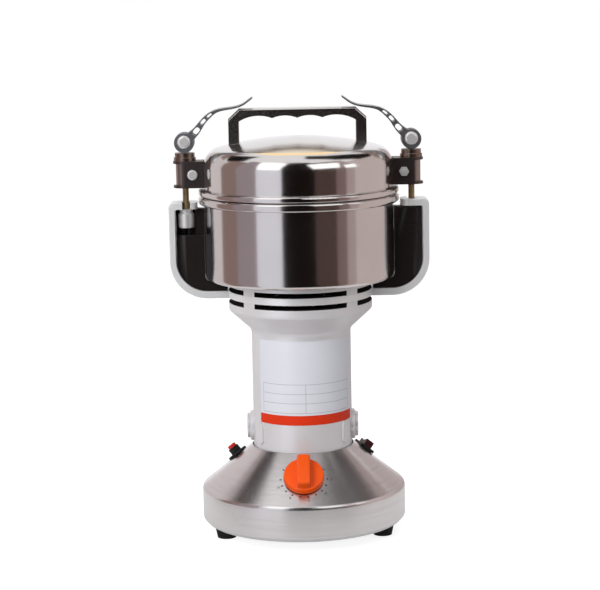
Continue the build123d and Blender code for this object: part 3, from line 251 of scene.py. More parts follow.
@dataclass
class Effects:
    """Shader node groups that several finishes share, each built once."""

    line_turns: float = 1.6
    fine_share: float = 0.6
    broad_share: float = 0.4
    broad_scale: float = 0.2
    cloud_range: Span = (0.35, 0.70)
    edge_range: Span = (0.98, 0.80)
    edge_samples: int = 6

    def __post_init__(self) -> None:
        """Builds every group."""
        self.turning = self.build_turning()
        self.grain = self.build_grain()
        self.handling = self.build_handling()
        self.edge = self.build_edge()

    def group(self, name: str, measure: str, outputs: dict[str, Kind]) -> tuple[Graph, Node, Node]:
        """Starts a node group.

        Args:
            name: Name of the group.
            measure: Name of its input, a number.
            outputs: Names of its outputs with their types.

        Returns:
            Graph of the group with its input and output nodes.
        """
        tree = bpy.data.node_groups.new(name, "ShaderNodeTree")
        tree.interface.new_socket(measure, in_out="INPUT", socket_type=Kind.NUMBER.value)
        for label, kind in outputs.items():
            tree.interface.new_socket(label, in_out="OUTPUT", socket_type=kind.value)
        graph = Graph(tree)
        return graph, graph.add("NodeGroupInput"), graph.add("NodeGroupOutput")

    def build_turning(self) -> Tree:
        """Fine lines that run round the upright axis, as spinning and brushing leave them.

        Returns:
            Group with the lines as a value.
        """
        graph, start, end = self.group("turning_lines", "Spacing", {"Lines": Kind.NUMBER})
        x, y, z = graph.axes()
        spacing = start.outputs["Spacing"]
        place = graph.feed(graph.add("ShaderNodeCombineXYZ"), {
            0: graph.math("DIVIDE", graph.reach(x, y), spacing),
            1: graph.math("DIVIDE", z, spacing),
            2: graph.math("MULTIPLY", graph.math("ARCTAN2", y, x), self.line_turns),
        })
        graph.feed(end, {"Lines": graph.noise(place.outputs[0], scale=1.0, detail=3.0)})
        return graph.tree

    def build_grain(self) -> Tree:
        """Pebbled grain of a sand casting, a sprayed paint or an eroded mould.

        Returns:
            Group with the grain's height.
        """
        graph, start, end = self.group("surface_grain", "Size", {"Height": Kind.NUMBER})
        scale = graph.math("DIVIDE", 1.0, start.outputs["Size"])
        place = graph.place()
        fine = graph.noise(place, scale, detail=2.0)
        broad = graph.noise(place, graph.math("MULTIPLY", scale, self.broad_scale), detail=1.0)
        fine = graph.math("MULTIPLY", fine, self.fine_share)
        broad = graph.math("MULTIPLY", broad, self.broad_share)
        graph.feed(end, {"Height": graph.math("ADD", fine, broad)})
        return graph.tree

    def build_handling(self) -> Tree:
        """Soft clouds where hands and cloths have dulled a surface.

        Returns:
            Group with the clouds as a mask.
        """
        graph, start, end = self.group("handling_marks", "Size", {"Mask": Kind.NUMBER})
        scale = graph.math("DIVIDE", 1.0, start.outputs["Size"])
        cloud = graph.noise(graph.place(), scale, detail=4.0)
        graph.feed(end, {"Mask": graph.remap(cloud, self.cloud_range)})
        return graph.tree

    def build_edge(self) -> Tree:
        """Broken edges: a rounded normal, and a mask along every sharp edge where the finishes paint a
        highlight.

        Returns:
            Group with the normal and the mask.
        """
        outputs = {"Normal": Kind.VECTOR, "Edge": Kind.NUMBER}
        graph, start, end = self.group("broken_edges", "Radius", outputs)
        bevel = graph.add("ShaderNodeBevel", samples=self.edge_samples)
        graph.feed(bevel, {"Radius": start.outputs["Radius"]})
        turn = graph.add("ShaderNodeVectorMath", operation="DOT_PRODUCT")
        flat = graph.add("ShaderNodeNewGeometry").outputs["Normal"]
        graph.feed(turn, {0: bevel.outputs[0], 1: flat})
        edge = graph.remap(turn.outputs["Value"], self.edge_range)
        graph.feed(end, {"Normal": bevel.outputs[0], "Edge": edge})
        return graph.tree


@dataclass(frozen=True)
class Finish:
    """Finish of one material, with the detail that all finishes share."""

    name: str
    colour: Colour
    roughness: float
    metallic: float = 0.0
    clouds: float = 0.08
    cloud_size: float = 0.03
    grain_size: float = 0.0006
    grain_depth: float = 0.000006
    edge_radius: float = 0.0003
    # share by which sharp edges are painted lighter, a painted highlight
    edge_highlight_gain: float = 0.15
    specular: float = 0.5

    def height(self, graph: Graph, effects: Effects) -> Socket:
        """Socket with the height of the surface's grain."""
        return graph.use(effects.grain, {"Size": self.grain_size}).outputs["Height"]

    def tone(self, graph: Graph, effects: Effects, colour: Socket) -> Socket:
        """Socket with the colour after the finish's own pattern."""
        return colour

    def extra(self, graph: Graph, shader: Node) -> None:
        """Sets what only this finish has on its shader."""

    def material(self, effects: Effects) -> bpy.types.Material:
        """Builds the material.

        Args:
            effects: Shared node groups.

        Returns:
            The material.
        """
        material = bpy.data.materials.new(self.name)
        material.use_nodes = True
        graph = Graph(material.node_tree)
        shader = graph.tree.nodes["Principled BSDF"]
        clouds = graph.use(effects.handling, {"Size": self.cloud_size}).outputs["Mask"]
        edges = graph.use(effects.edge, {"Radius": self.edge_radius})
        dull = tuple(part * (1 - self.clouds) for part in self.colour)
        # painted highlight: the colour is lifted towards white along sharp edges
        light = tuple(part + (1 - part) * self.edge_highlight_gain for part in self.colour)
        colour = graph.blend(clouds, self.colour, dull)
        colour = graph.blend(edges.outputs["Edge"], colour, light)
        spread = self.roughness * (1 + 2 * self.clouds)
        bump = graph.feed(graph.add("ShaderNodeBump"), {
            "Strength": 1.0,
            "Distance": self.grain_depth,
            "Height": self.height(graph, effects),
            "Normal": edges.outputs["Normal"],
        })
        graph.feed(shader, {
            "Base Color": self.tone(graph, effects, colour),
            "Roughness": graph.remap(clouds, results=(self.roughness, spread)),
            "Normal": bump.outputs[0],
            "Metallic": self.metallic,
            "Specular IOR Level": self.specular,
        })
        self.extra(graph, shader)
        return material


@dataclass(frozen=True)
class HollowWithPaintedShade(Finish):
    """Finish of a hollow piece with painted shade inside its outer wall: a near-black colour that stands in
    for the shade there, and no gloss.
    """

    inner_radius: float = 0.0
    inner_low: float = 0.0
    # near-black painted shade for the inside, in place of the shade in the vents and under the ring
    inside_shade_colour: Colour = (0.012, 0.011, 0.011)

    def inside(self, graph: Graph) -> Socket:
        """Builds the mask of the inside.

        Args:
            graph: Graph of the material.

        Returns:
            Socket that is one inside the outer wall.
        """
        x, y, z = graph.axes()
        within = graph.math("LESS_THAN", graph.reach(x, y), self.inner_radius)
        return graph.math("MULTIPLY", within, graph.math("GREATER_THAN", z, self.inner_low))

    def tone(self, graph: Graph, effects: Effects, colour: Socket) -> Socket:
        """Socket with the colour after the painted shade inside."""
        return graph.blend(self.inside(graph), colour, self.inside_shade_colour)

    def extra(self, graph: Graph, shader: Node) -> None:
        """Takes the gloss off the inside."""
        polish = shader.inputs["Roughness"].links[0].from_socket
        graph.feed(shader, {"Roughness": graph.math("MAXIMUM", polish, self.inside(graph))})


@dataclass(frozen=True)
class Metal(Finish):
    """Bare metal."""

    metallic: float = 1.0


@dataclass(frozen=True)
class Turned(Metal):
    """Metal that was spun or brushed round the upright axis."""

    spacing: float = 0.0006
    stretch: float = 0.0
    stretch_turn: float = 0.25
    line_contrast: float = 0.10
    line_range: Span = (0.45, 0.85)

    def lines(self, graph: Graph, effects: Effects, spacing: float) -> Socket:
        """Socket with turning lines at a spacing."""
        return graph.use(effects.turning, {"Spacing": spacing}).outputs["Lines"]

    def height(self, graph: Graph, effects: Effects) -> Socket:
        """Socket with the height of the turning lines."""
        return self.lines(graph, effects, self.spacing)

    def tone(self, graph: Graph, effects: Effects, colour: Socket) -> Socket:
        """Darkens the colour along the turning lines.

        Args:
            graph: Graph of the material.
            effects: Shared node groups.
            colour: Colour without lines.

        Returns:
            Socket with the colour.
        """
        lines = graph.remap(self.lines(graph, effects, 2 * self.spacing), self.line_range)
        dark = tuple(part * (1 - 2 * self.line_contrast) for part in self.colour)
        return graph.blend(lines, colour, dark)

    def extra(self, graph: Graph, shader: Node) -> None:
        """Stretches the gloss across the turning lines."""
        tangent = graph.add("ShaderNodeTangent", direction_type="RADIAL", axis="Z").outputs[0]
        graph.feed(shader, {
            "Anisotropic": self.stretch,
            "Anisotropic Rotation": self.stretch_turn,
            "Tangent": tangent,
        })


@dataclass(frozen=True)
class Threaded(Metal):
    """Metal with a thread along the upright axis."""

    pitch: float = 0.0008

    def height(self, graph: Graph, effects: Effects) -> Socket:
        """Socket with the height of the thread's turns."""
        return graph.layers(self.pitch, wave_profile="TRI")


@dataclass(frozen=True)
class Wound(Metal):
    """Varnished wire or stacked plates, seen as fine layers."""

    layer: float = 0.0006
    wander: float = 0.4

    def height(self, graph: Graph, effects: Effects) -> Socket:
        """Socket with the height of the layers."""
        return graph.layers(self.layer, self.wander)


@dataclass(frozen=True)
class Ruled(Finish):
    """Printed foil with the thin rules of an empty table."""

    rule_colour: Colour = (0.42, 0.44, 0.50)
    rule_levels: Numbers = ()
    rule_angles: Numbers = ()
    rule_half: float = 0.00016
    rule_half_angle: float = 0.30

    def rules(self, graph: Graph, value: Socket, places: Numbers, half: float) -> Socket:
        """Mask of rules at some heights or angles."""
        masks = [graph.math("COMPARE", value, place, half) for place in places]
        return reduce(partial(graph.math, "MAXIMUM"), masks)

    def between(self, graph: Graph, value: Socket, places: Numbers) -> Socket:
        """Mask of all that lies from the first rule to the last."""
        middle, half = (places[0] + places[-1]) / 2, abs(places[-1] - places[0]) / 2
        return graph.math("COMPARE", value, middle, half)

    def tone(self, graph: Graph, effects: Effects, colour: Socket) -> Socket:
        """Prints the rules, which follow height and angle from the front.

        Args:
            graph: Graph of the material.
            effects: Shared node groups.
            colour: Colour of the bare foil.

        Returns:
            Socket with the colour.
        """
        x, y, z = graph.axes()
        angle = graph.math("ARCTAN2", x, graph.math("MULTIPLY", y, -1.0))
        turns = tuple(math.radians(turn) for turn in self.rule_angles)
        rows = self.rules(graph, z, self.rule_levels, self.rule_half)
        columns = self.rules(graph, angle, turns, math.radians(self.rule_half_angle))
        rows = graph.math("MULTIPLY", rows, self.between(graph, angle, turns))
        columns = graph.math("MULTIPLY", columns, self.between(graph, z, self.rule_levels))
        return graph.blend(graph.math("MAXIMUM", rows, columns), colour, self.rule_colour)


SPUN_BASE = Turned(
    "spun_base_steel", (0.71, 0.68, 0.685), 0.25, spacing=0.0008, stretch=0.60, line_contrast=0.06,
    grain_depth=0.000003, clouds=0.05,
)
SPUN_BOWL = Turned(
    "spun_bowl_steel", (0.68, 0.65, 0.64), 0.16, stretch=0.70, line_contrast=0.02,
    grain_depth=0.000002, clouds=0.05,
)
SPUN_LID = Turned(
    "spun_lid_steel", (0.70, 0.67, 0.66), 0.14, stretch=0.60, line_contrast=0.02,
    grain_depth=0.0000015, clouds=0.05,
)
PLAIN_STEEL = Metal("plain_steel", (0.58, 0.58, 0.59), 0.28)
CUTTER_STEEL = Metal("cutter_steel", (0.62, 0.62, 0.64), 0.20, edge_highlight_gain=0.35)
CHROME = Metal("polished_chrome", (0.72, 0.70, 0.69), 0.20, clouds=0.06, grain_depth=0.000001)
BRIGHT_HEAD = Finish(
    "bright_plated_head", (0.78, 0.77, 0.77), 0.34, metallic=0.6, clouds=0.06, edge_highlight_gain=0.4,
)
CAST_ALUMINIUM = Metal("cast_aluminium", (0.56, 0.57, 0.58), 0.42, grain_depth=0.00003, grain_size=0.0009)
LEVER_GREY = Metal(
    "satin_lever_metal", (0.40, 0.41, 0.43), 0.36, grain_depth=0.00001, edge_highlight_gain=0.4, clouds=0.12,
)
LUG_METAL = Metal("burnished_lug_metal", (0.13, 0.105, 0.10), 0.36, clouds=0.2)
LUG_BLOCK = Metal("brown_block_metal", (0.34, 0.28, 0.26), 0.30, edge_highlight_gain=0.12, clouds=0.15)
BRONZE = Metal("burnished_bronze", (0.26, 0.19, 0.155), 0.26, edge_highlight_gain=0.25, clouds=0.15)
ROD_BRASS = Threaded("threaded_rod_brass", (0.44, 0.31, 0.16), 0.30, grain_depth=0.00025)
# painted shade inside inner_radius, above inner_low, on the yoke's ring, the housing's vents and the bowl
# seat
ARM_ALUMINIUM = HollowWithPaintedShade(
    "polished_aluminium", (0.84, 0.84, 0.85), 0.28, metallic=0.30, clouds=0.05, edge_highlight_gain=0.4,
    edge_radius=0.0008, grain_depth=0.000004, inner_radius=0.0463,
)
SILVER_PAINT = HollowWithPaintedShade(
    "silver_paint", (0.74, 0.73, 0.75), 0.36, metallic=0.25, clouds=0.04, grain_size=0.0005,
    grain_depth=0.00001, edge_highlight_gain=0.2, edge_radius=0.0005, inner_radius=0.0463, inner_low=0.1505,
)
SEAT_PAINT = replace(SILVER_PAINT, name="seat_paint", inner_low=0.0)
CAP_PAINT = Finish("cap_paint", (0.70, 0.69, 0.71), 0.30, metallic=0.4, clouds=0.04, edge_highlight_gain=0.3)
BLACK_GLOSS = Finish(
    "black_gloss_plastic", (0.014, 0.011, 0.010), 0.24, specular=0.45, edge_highlight_gain=0.02,
    edge_radius=0.0005, grain_depth=0.000003,
)
BLACK_MATTE = Finish(
    "black_matte_plastic", (0.010, 0.009, 0.009), 0.42, specular=0.3, grain_depth=0.00002, edge_highlight_gain=0.03,
)
ORANGE_PLASTIC = Finish(
    "orange_plastic", (0.93, 0.098, 0.002), 0.22, specular=0.3, clouds=0.03, edge_highlight_gain=0.04,
    edge_radius=0.0006,
)
RED_PLASTIC = Finish("red_plastic", (0.62, 0.022, 0.016), 0.24, specular=0.35, clouds=0.04, edge_highlight_gain=0.05)
DARK_RED_PLASTIC = Finish(
    "dark_red_plastic", (0.050, 0.006, 0.008), 0.20, specular=0.4, clouds=0.04, edge_highlight_gain=0.05,
)
BLACK_RUBBER = Finish(
    "black_rubber", (0.010, 0.010, 0.010), 0.60, specular=0.25, clouds=0.25, grain_size=0.0004,
    grain_depth=0.00004, edge_highlight_gain=0.03,
)
PALE_RUBBER = Finish("pale_rubber", (0.72, 0.70, 0.66), 0.55, grain_depth=0.00001)
COPPER_WIRE = Wound("varnished_copper", (0.55, 0.22, 0.10), 0.32, grain_depth=0.0002)
LAMINATION = Wound("core_plates", (0.17, 0.17, 0.18), 0.45, grain_depth=0.0001, layer=0.0005)
CARBON = Finish("pressed_carbon", (0.03, 0.03, 0.03), 0.60, grain_depth=0.00002)
DIAL_PRINT = Finish("dial_print", (0.015, 0.014, 0.017), 0.50, specular=0.2, clouds=0.10, edge_highlight_gain=0.0)
STRIPE_PRINT = Finish("stripe_print", (0.74, 0.036, 0.006), 0.50, specular=0.15, clouds=0.04, edge_highlight_gain=0.0)
LABEL_PRINT = Ruled(
    "label_print", (0.74, 0.75, 0.81), 0.36, specular=0.35, clouds=0.03, edge_highlight_gain=0.1,
    rule_levels=(0.1024, 0.0962, 0.0901, 0.0838), rule_angles=(-50.0, 4.0, 64.0),
)


class Workshop:
    """Keeps the shared effects and hands out each finish's material once."""

    def __init__(self, nodes: dict[str, Piece]) -> None:
        """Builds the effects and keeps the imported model's nodes."""
        self.nodes = nodes
        self.effects = Effects()
        self.made: dict[str, bpy.types.Material] = {}

    def material(self, finish: Finish) -> bpy.types.Material:
        """Gives the material of a finish, built on its first use.

        Args:
            finish: Finish to look up.

        Returns:
            Its material.
        """
        if finish.name not in self.made:
            self.made[finish.name] = finish.material(self.effects)
        return self.made[finish.name]

    def coat(self, piece: Piece, finish: Finish) -> None:
        """Gives a piece one finish all over."""
        piece.data.materials.clear()
        piece.data.materials.append(self.material(finish))

    def dress(self, finish: Finish, names: Names) -> None:
        """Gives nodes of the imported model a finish.

        Args:
            finish: Finish to give them.
            names: Names of the nodes.
        """
        for name in names:
            self.coat(self.nodes[name], finish)
            log.info("node %s: %s", name, finish.name)

    def place(self, piece: Piece, body: Body, slot: Slot, finish: Finish) -> None:
        """Finishes a new piece and lets it ride on a body.

        Args:
            piece: New piece in its place.
            body: Body that carries it.
            slot: Slot of the record that it belongs to; not used.
            finish: Its finish.
        """
        self.coat(piece, finish)
        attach(piece, body.value)
        log.info("piece %s: %s on %s", piece.name, finish.name, body.value)


def turned(angle: float, axis: str) -> Matrix:
    """Matrix of a turn in degrees about an axis."""
    return Matrix.Rotation(math.radians(angle), 4, axis)


def bearing(place: Vector) -> float:
    """Angle of a place to the right of the front, in degrees."""
    return math.degrees(math.atan2(place.x, -place.y))


def start_mesh() -> None:
    """Leaves nothing selected, so that an operator acts on the new piece alone."""
    if bpy.context.object and bpy.context.object.mode != "OBJECT":
        bpy.ops.object.mode_set(mode="OBJECT")
    bpy.ops.object.select_all(action="DESELECT")


def activate(piece: Piece) -> None:
    """Leaves one piece selected and active.

    Args:
        piece: Piece to work on.
    """
    start_mesh()
    piece.select_set(True)
    bpy.context.view_layer.objects.active = piece


def apply_modifiers(piece: Piece) -> None:
    """Applies every modifier of a piece.

    Args:
        piece: Piece to finish.
    """
    activate(piece)
    for modifier in list(piece.modifiers):
        bpy.ops.object.modifier_apply(modifier=modifier.name)


def join_solid(piece: Piece, other: Piece, joining: Joining) -> None:
    """Cuts another solid out of a piece or unites both, and removes the other one.

    Args:
        piece: Piece to change.
        other: Solid that changes it.
        joining: What it does to the piece.
    """
    modifier = piece.modifiers.new("joining", "BOOLEAN")
    modifier.operation = joining.value
    modifier.object = other
    apply_modifiers(piece)
    bpy.data.objects.remove(other)


def choose(piece: Piece, level: Level, test: Callable[[object], bool]) -> None:
    """Opens the active piece in edit mode with those parts selected that pass a test.

    Args:
        piece: Active piece.
        level: Parts to select.
        test: Test of one part.
    """
    bpy.context.tool_settings.mesh_select_mode = [item is level for item in Level]
    bpy.ops.object.mode_set(mode="EDIT")
    bpy.ops.mesh.select_all(action="DESELECT")
    bpy.ops.object.mode_set(mode="OBJECT")
    for part in getattr(piece.data, level.value):
        part.select = test(part)
    bpy.ops.object.mode_set(mode="EDIT")


def add_block(size: Triple, place: Triple) -> Piece:
    """Models a block.

    Args:
        size: Its lengths along X, Y and Z.
        place: Its middle.

    Returns:
        The block.
    """
    start_mesh()
    bpy.ops.mesh.primitive_cube_add(size=1.0, location=place)
    bpy.context.object.scale = size
    bpy.ops.object.transform_apply(location=True, rotation=True, scale=True)
    return bpy.context.object


def add_sheet(size: float) -> Piece:
    """Models a square sheet that lies at the origin.

    Args:
        size: Length of its sides.

    Returns:
        The sheet.
    """
    start_mesh()
    bpy.ops.mesh.primitive_plane_add(size=size, location=ORIGIN)
    return bpy.context.object


class Assembly:
    """Sub-assembly of the object, with the finishes of its nodes."""

    finishes: ClassVar[dict[Finish, Names]]

    def build(self, shop: Workshop) -> None:
        """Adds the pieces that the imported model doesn't have, where there are any."""

    def dress(self, shop: Workshop) -> None:
        """Gives every node its finish."""
        for finish, names in self.finishes.items():
            shop.dress(finish, names)


@dataclass
class Base(Assembly):
    """Spun base with its plate, feet and inlet."""

    finishes = {
        SPUN_BASE: ("base_shell",),
        PLAIN_STEEL: ("base_plate", "foot_screws", "foot_nuts", "motor_pillars", "motor_screws"),
        BLACK_RUBBER: ("feet", "cord_gland"),
    }


@dataclass
class Controls(Assembly):
    """Timer, reset button and rocker switch on the cone, with the timer's dial."""

    finishes = {
        ORANGE_PLASTIC: ("timer_knob",),
        RED_PLASTIC: ("reset_button",),
        DARK_RED_PLASTIC: ("switch_rocker",),
        BLACK_MATTE: ("timer_body", "reset_body", "reset_nut", "switch_housing"),
        PLAIN_STEEL: ("timer_nut", "timer_shaft"),
    }
    cone_base_radius: float = 66.4 * MM
    cone_base_z: float = 30.5 * MM
    cone_rise: float = 27.3 * MM
    cone_run: float = 33.4 * MM
    knob_radius_place: float = 48.0 * MM
    tick_place: float = 14.9 * MM
    tick_length: float = 1.4 * MM
    tick_width: float = 0.85 * MM
    tick_height: float = 0.10 * MM
    tick_round_share: float = 0.45
    tick_angles: Numbers = (0, 30, 60, 90, 110, 130, 150, 170, 190, 210, 230, 250, 270, 300, 330)
    number_place: float = 17.6 * MM
    number_size: float = 2.3 * MM
    numbers: tuple[tuple[str, float], ...] = (
        ("0", 0), ("2", 90), ("4", 130), ("6", 170), ("8", 210), ("10", 250),
    )
    round_steps: int = 3

    def frame_at(self, distance: float, angle: float) -> Matrix:
        """Frame on the cone at a place that is measured along its surface from the knob.

        Args:
            distance: Distance from the knob's axis.
            angle: Angle round the knob in degrees, clockwise from the top.

        Returns:
            Matrix with X across the ray from the knob, Y along it and Z out of the cone.
        """
        slant = math.hypot(self.cone_rise, self.cone_run)
        out, up = self.cone_rise / slant, self.cone_run / slant
        middle = self.knob_radius_place / up
        ray_up, ray_side = math.cos(math.radians(angle)), math.sin(math.radians(angle))
        along, side = middle - distance * ray_up, distance * ray_side
        reach = math.hypot(along, side)
        turn = math.atan2(side, along) / up
        way = Vector((math.sin(turn), -math.cos(turn), 0))
        across = Vector((math.cos(turn), math.sin(turn), 0))
        slope = Vector((-up * way.x, -up * way.y, out))
        normal = Vector((out * way.x, out * way.y, up))
        place = way * (reach * up)
        place.z = self.cone_base_z + (self.cone_base_radius - reach * up) * self.cone_rise / self.cone_run
        climb = (along * ray_up - side * ray_side) / reach
        swing = (side * ray_up + along * ray_side) / reach
        ray = slope * climb + across * swing
        frame = Matrix((ray.cross(normal), ray, normal)).transposed().to_4x4()
        frame.translation = place
        return frame

    def tick(self) -> Piece:
        """Models one printed tick at the origin.

        Returns:
            The tick.
        """
        mark = add_block((self.tick_width, self.tick_length, self.tick_height), ORIGIN)

        def upright(edge: bpy.types.MeshEdge) -> bool:
            """Tells whether an edge runs from the bottom to the top."""
            first, second = (mark.data.vertices[index].co for index in edge.vertices)
            return abs(first.z - second.z) > self.tick_height / 2

        choose(mark, Level.EDGES, upright)
        offset = self.tick_width * self.tick_round_share
        bpy.ops.mesh.bevel(offset=offset, segments=self.round_steps, affect="EDGES")
        bpy.ops.object.mode_set(mode="OBJECT")
        return mark

    def number(self, words: str) -> Piece:
        """Models one dial number at the origin.

        Args:
            words: Digits of the number.

        Returns:
            The number as a mesh.
        """
        start_mesh()
        bpy.ops.object.text_add(location=ORIGIN)
        text = bpy.context.object.data
        text.body = words
        text.size = self.number_size
        text.align_x = "CENTER"
        text.align_y = "CENTER"
        text.extrude = self.tick_height / 2
        text.resolution_u = self.round_steps
        bpy.ops.object.convert(target="MESH")
        return bpy.context.object

    def gather(self, name: str, marks: list[Piece]) -> Piece:
        """Joins printed marks into one piece.

        Args:
            name: Name of the piece.
            marks: Marks in their places.

        Returns:
            The joined piece.
        """
        activate(marks[0])
        for mark in marks:
            mark.select_set(True)
        bpy.ops.object.join()
        piece = bpy.context.object
        piece.name = name
        return piece

    def build(self, shop: Workshop) -> None:
        """Prints the timer's dial on the cone.

        Args:
            shop: Workshop that finishes the prints.
        """
        ticks = [self.tick() for _ in self.tick_angles]
        for mark, angle in zip(ticks, self.tick_angles):
            mark.data.transform(self.frame_at(self.tick_place, angle))
        digits = [self.number(words) for words, _ in self.numbers]
        for mark, (_, angle) in zip(digits, self.numbers):
            mark.data.transform(self.frame_at(self.number_place, angle) @ turned(angle, "Z"))
        for name, marks in (("dial_ticks", ticks), ("dial_numbers", digits)):
            shop.place(self.gather(name, marks), Body.STAND, Slot.DIAL, DIAL_PRINT)


@dataclass
class Motor(Assembly):
    """Cast housing with its label, and the motor inside it."""

    finishes = {
        SILVER_PAINT: ("motor_housing",),
        SEAT_PAINT: ("bowl_seat",),
        CAP_PAINT: ("brush_caps",),
        CAST_ALUMINIUM: ("end_bell",),
        PLAIN_STEEL: ("lower_bearing", "upper_bearing", "brush_springs", "motor_shaft"),
        BLACK_MATTE: ("brush_holders", "cooling_fan"),
        CARBON: ("carbon_brushes",),
        COPPER_WIRE: ("field_coils", "armature_winding", "commutator"),
        LAMINATION: ("stator_core", "armature_core"),
        BLACK_RUBBER: ("shaft_seal",),
    }
    foil_radius: float = 32.28 * MM
    foil_thickness: float = 0.12 * MM
    foil_span: Span = (-56.0, 72.0)
    foil_steps: int = 90
    foil_corner: float = 0.8 * MM
    corner_steps: int = 3
    corner_slack: float = 1.0
    label_levels: Span = (82.2 * MM, 130.4 * MM)
    stripe_levels: Span = (75.9 * MM, 82.2 * MM)

    def foil(self, name: str, levels: Span) -> Piece:
        """Models a thin foil that is wrapped round the housing.

        Args:
            name: Name of the piece.
            levels: Its lower and upper edge.

        Returns:
            The foil.
        """
        first, last = self.foil_span

        def bare(face: bpy.types.MeshPolygon) -> bool:
            """Tells whether a face lies outside the foil."""
            return not first < bearing(face.center) < last

        def at_end(point: bpy.types.MeshVertex) -> bool:
            """Tells whether a point is a corner of the foil."""
            return min(abs(bearing(point.co) - end) for end in self.foil_span) < self.corner_slack

        start_mesh()
        bpy.ops.mesh.primitive_cylinder_add(
            vertices=self.foil_steps, radius=self.foil_radius, depth=levels[1] - levels[0],
            end_fill_type="NOTHING", location=(0, 0, sum(levels) / 2),
        )
        sheet = bpy.context.object
        sheet.name = name
        bpy.ops.object.transform_apply(location=True, rotation=True, scale=True)
        choose(sheet, Level.FACES, bare)
        bpy.ops.mesh.delete(type="FACE")
        choose(sheet, Level.POINTS, at_end)
        bpy.ops.mesh.bevel(offset=self.foil_corner, segments=self.corner_steps, affect="VERTICES")
        bpy.ops.object.mode_set(mode="OBJECT")
        wall = sheet.modifiers.new("foil", "SOLIDIFY")
        wall.thickness = self.foil_thickness
        wall.offset = 1.0
        apply_modifiers(sheet)
        bpy.ops.object.shade_smooth_by_angle(angle=SMOOTH_ANGLE)
        return sheet

    def build(self, shop: Workshop) -> None:
        """Wraps the label and its stripe round the housing."""
        shop.place(self.foil("label_plate", self.label_levels), Body.STAND, Slot.PRINT, LABEL_PRINT)
        shop.place(self.foil("label_stripe", self.stripe_levels), Body.STAND, Slot.PRINT, STRIPE_PRINT)


@dataclass
class Bowl(Assembly):
    """Grinding bowl with its cutters."""

    finishes = {
        SPUN_BOWL: ("bowl",),
        PLAIN_STEEL: ("bowl_screws",),
        CUTTER_STEEL: ("lower_blade", "blade_spacer", "upper_blade", "blade_nut"),
    }


@dataclass
class Lid(Assembly):
    """Lid with its liner, gasket and handle."""

    finishes = {
        SPUN_LID: ("lid_shell",),
        PLAIN_STEEL: ("lid_liner", "handle_screws"),
        PALE_RUBBER: ("lid_gasket",),
        CHROME: ("lid_handle",),
    }


@dataclass
class Clamps(Assembly):
    """Yoke, sockets, lugs, rods and cam levers."""

    finishes = {
        ARM_ALUMINIUM: ("yoke",),
        BLACK_GLOSS: ("grip_left", "grip_right"),
        LUG_METAL: ("lug_left", "lug_right"),
        LUG_BLOCK: ("lug_blocks",),
        BRONZE: ("clamp_collars",),
        ROD_BRASS: ("clamp_rods",),
        BRIGHT_HEAD: ("clamp_nuts", "lever_pins", "lug_screws", "grip_screws"),
        LEVER_GREY: ("lever_left", "lever_right"),
    }
    socket_inner: float = 61.6 * MM
    socket_floor: float = 166.0 * MM
    socket_move: float = 0.5 * MM
    socket_half: float = 6.8 * MM
    socket_slack: float = 0.1 * MM
    socket_weld: float = 0.001 * MM
    corner_round: float = 4.0 * MM
    corner_sink: float = 0.2 * MM
    corner_steps: int = 96

    def corner(self, side: float, floor: float) -> Piece:
        """Models the fillet in a socket's inner corner, under the bowl's round edge.

        Args:
            side: -1 for the left socket, 1 for the right one.
            floor: Height of the corner.

        Returns:
            The fillet.
        """
        near = self.socket_inner - self.socket_move
        size = self.corner_round + self.corner_sink
        middle = self.corner_sink - size / 2
        width = 2 * self.socket_half
        fillet = add_block((size, width, size), (side * (near + middle), 0, floor - middle))
        bpy.ops.mesh.primitive_cylinder_add(
            vertices=self.corner_steps, radius=self.corner_round, depth=2 * width,
            rotation=(math.radians(90), 0, 0),
            location=(side * (near - self.corner_round), 0, floor + self.corner_round),
        )
        join_solid(fillet, bpy.context.object, Joining.CUT)
        return fillet

    def socket(self, node: Piece, name: str) -> Piece:
        """Models a moulded socket that reaches the bowl, from the solid that it stands for.

        Args:
            node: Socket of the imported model.
            name: Name of the new piece.

        Returns:
            The socket.
        """
        piece = bpy.data.objects.new(name, node.data.copy())
        bpy.context.scene.collection.objects.link(piece)
        activate(piece)
        bpy.ops.object.mode_set(mode="EDIT")
        bpy.ops.mesh.select_all(action="SELECT")
        bpy.ops.mesh.remove_doubles(threshold=self.socket_weld)
        bpy.ops.object.mode_set(mode="OBJECT")
        side = math.copysign(1.0, sum(point.co.x for point in piece.data.vertices))

        def near(point: bpy.types.MeshVertex) -> bool:
            """Tells whether a point lies on the face towards the bowl."""
            inner = abs(side * point.co.x - self.socket_inner) < self.socket_slack
            return inner and point.co.z > self.socket_floor

        floor = min(point.co.z for point in piece.data.vertices if near(point))
        choose(piece, Level.POINTS, near)
        bpy.ops.transform.translate(value=(-side * self.socket_move, 0, 0))
        bpy.ops.object.mode_set(mode="OBJECT")
        join_solid(piece, self.corner(side, floor), Joining.UNITE)
        bpy.ops.object.shade_smooth_by_angle(angle=SMOOTH_ANGLE)
        weight = piece.modifiers.new("flat_faces", "WEIGHTED_NORMAL")
        weight.keep_sharp = True
        apply_modifiers(piece)
        return piece

    def build(self, shop: Workshop) -> None:
        """Moulds both sockets.

        Args:
            shop: Workshop that finishes the sockets.
        """
        for side in ("left", "right"):
            node = f"grip_{side}"
            piece = self.socket(shop.nodes[node], f"socket_{side}")
            shop.place(piece, Body.STAND, Slot.SOCKET, BLACK_GLOSS)
            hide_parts(node)


@dataclass(frozen=True)
class Flat:
    """Upright studio flat with an apron on the floor, seen by gloss alone."""

    name: str
    first: float
    last: float
    top: float
    colour: Colour


@dataclass(frozen=True)
class Facing:
    """Studio piece that faces the object, at angles from the front and upwards."""

    name: str
    azimuth: float
    elevation: float
    distance: float
    width: float
    height: float


@dataclass(frozen=True)
class Card(Facing):
    """Card that is seen by gloss alone."""

    colour: Colour
    roll: float = 0.0


@dataclass(frozen=True)
class Lamp(Facing):
    """Soft lamp."""

    power: float


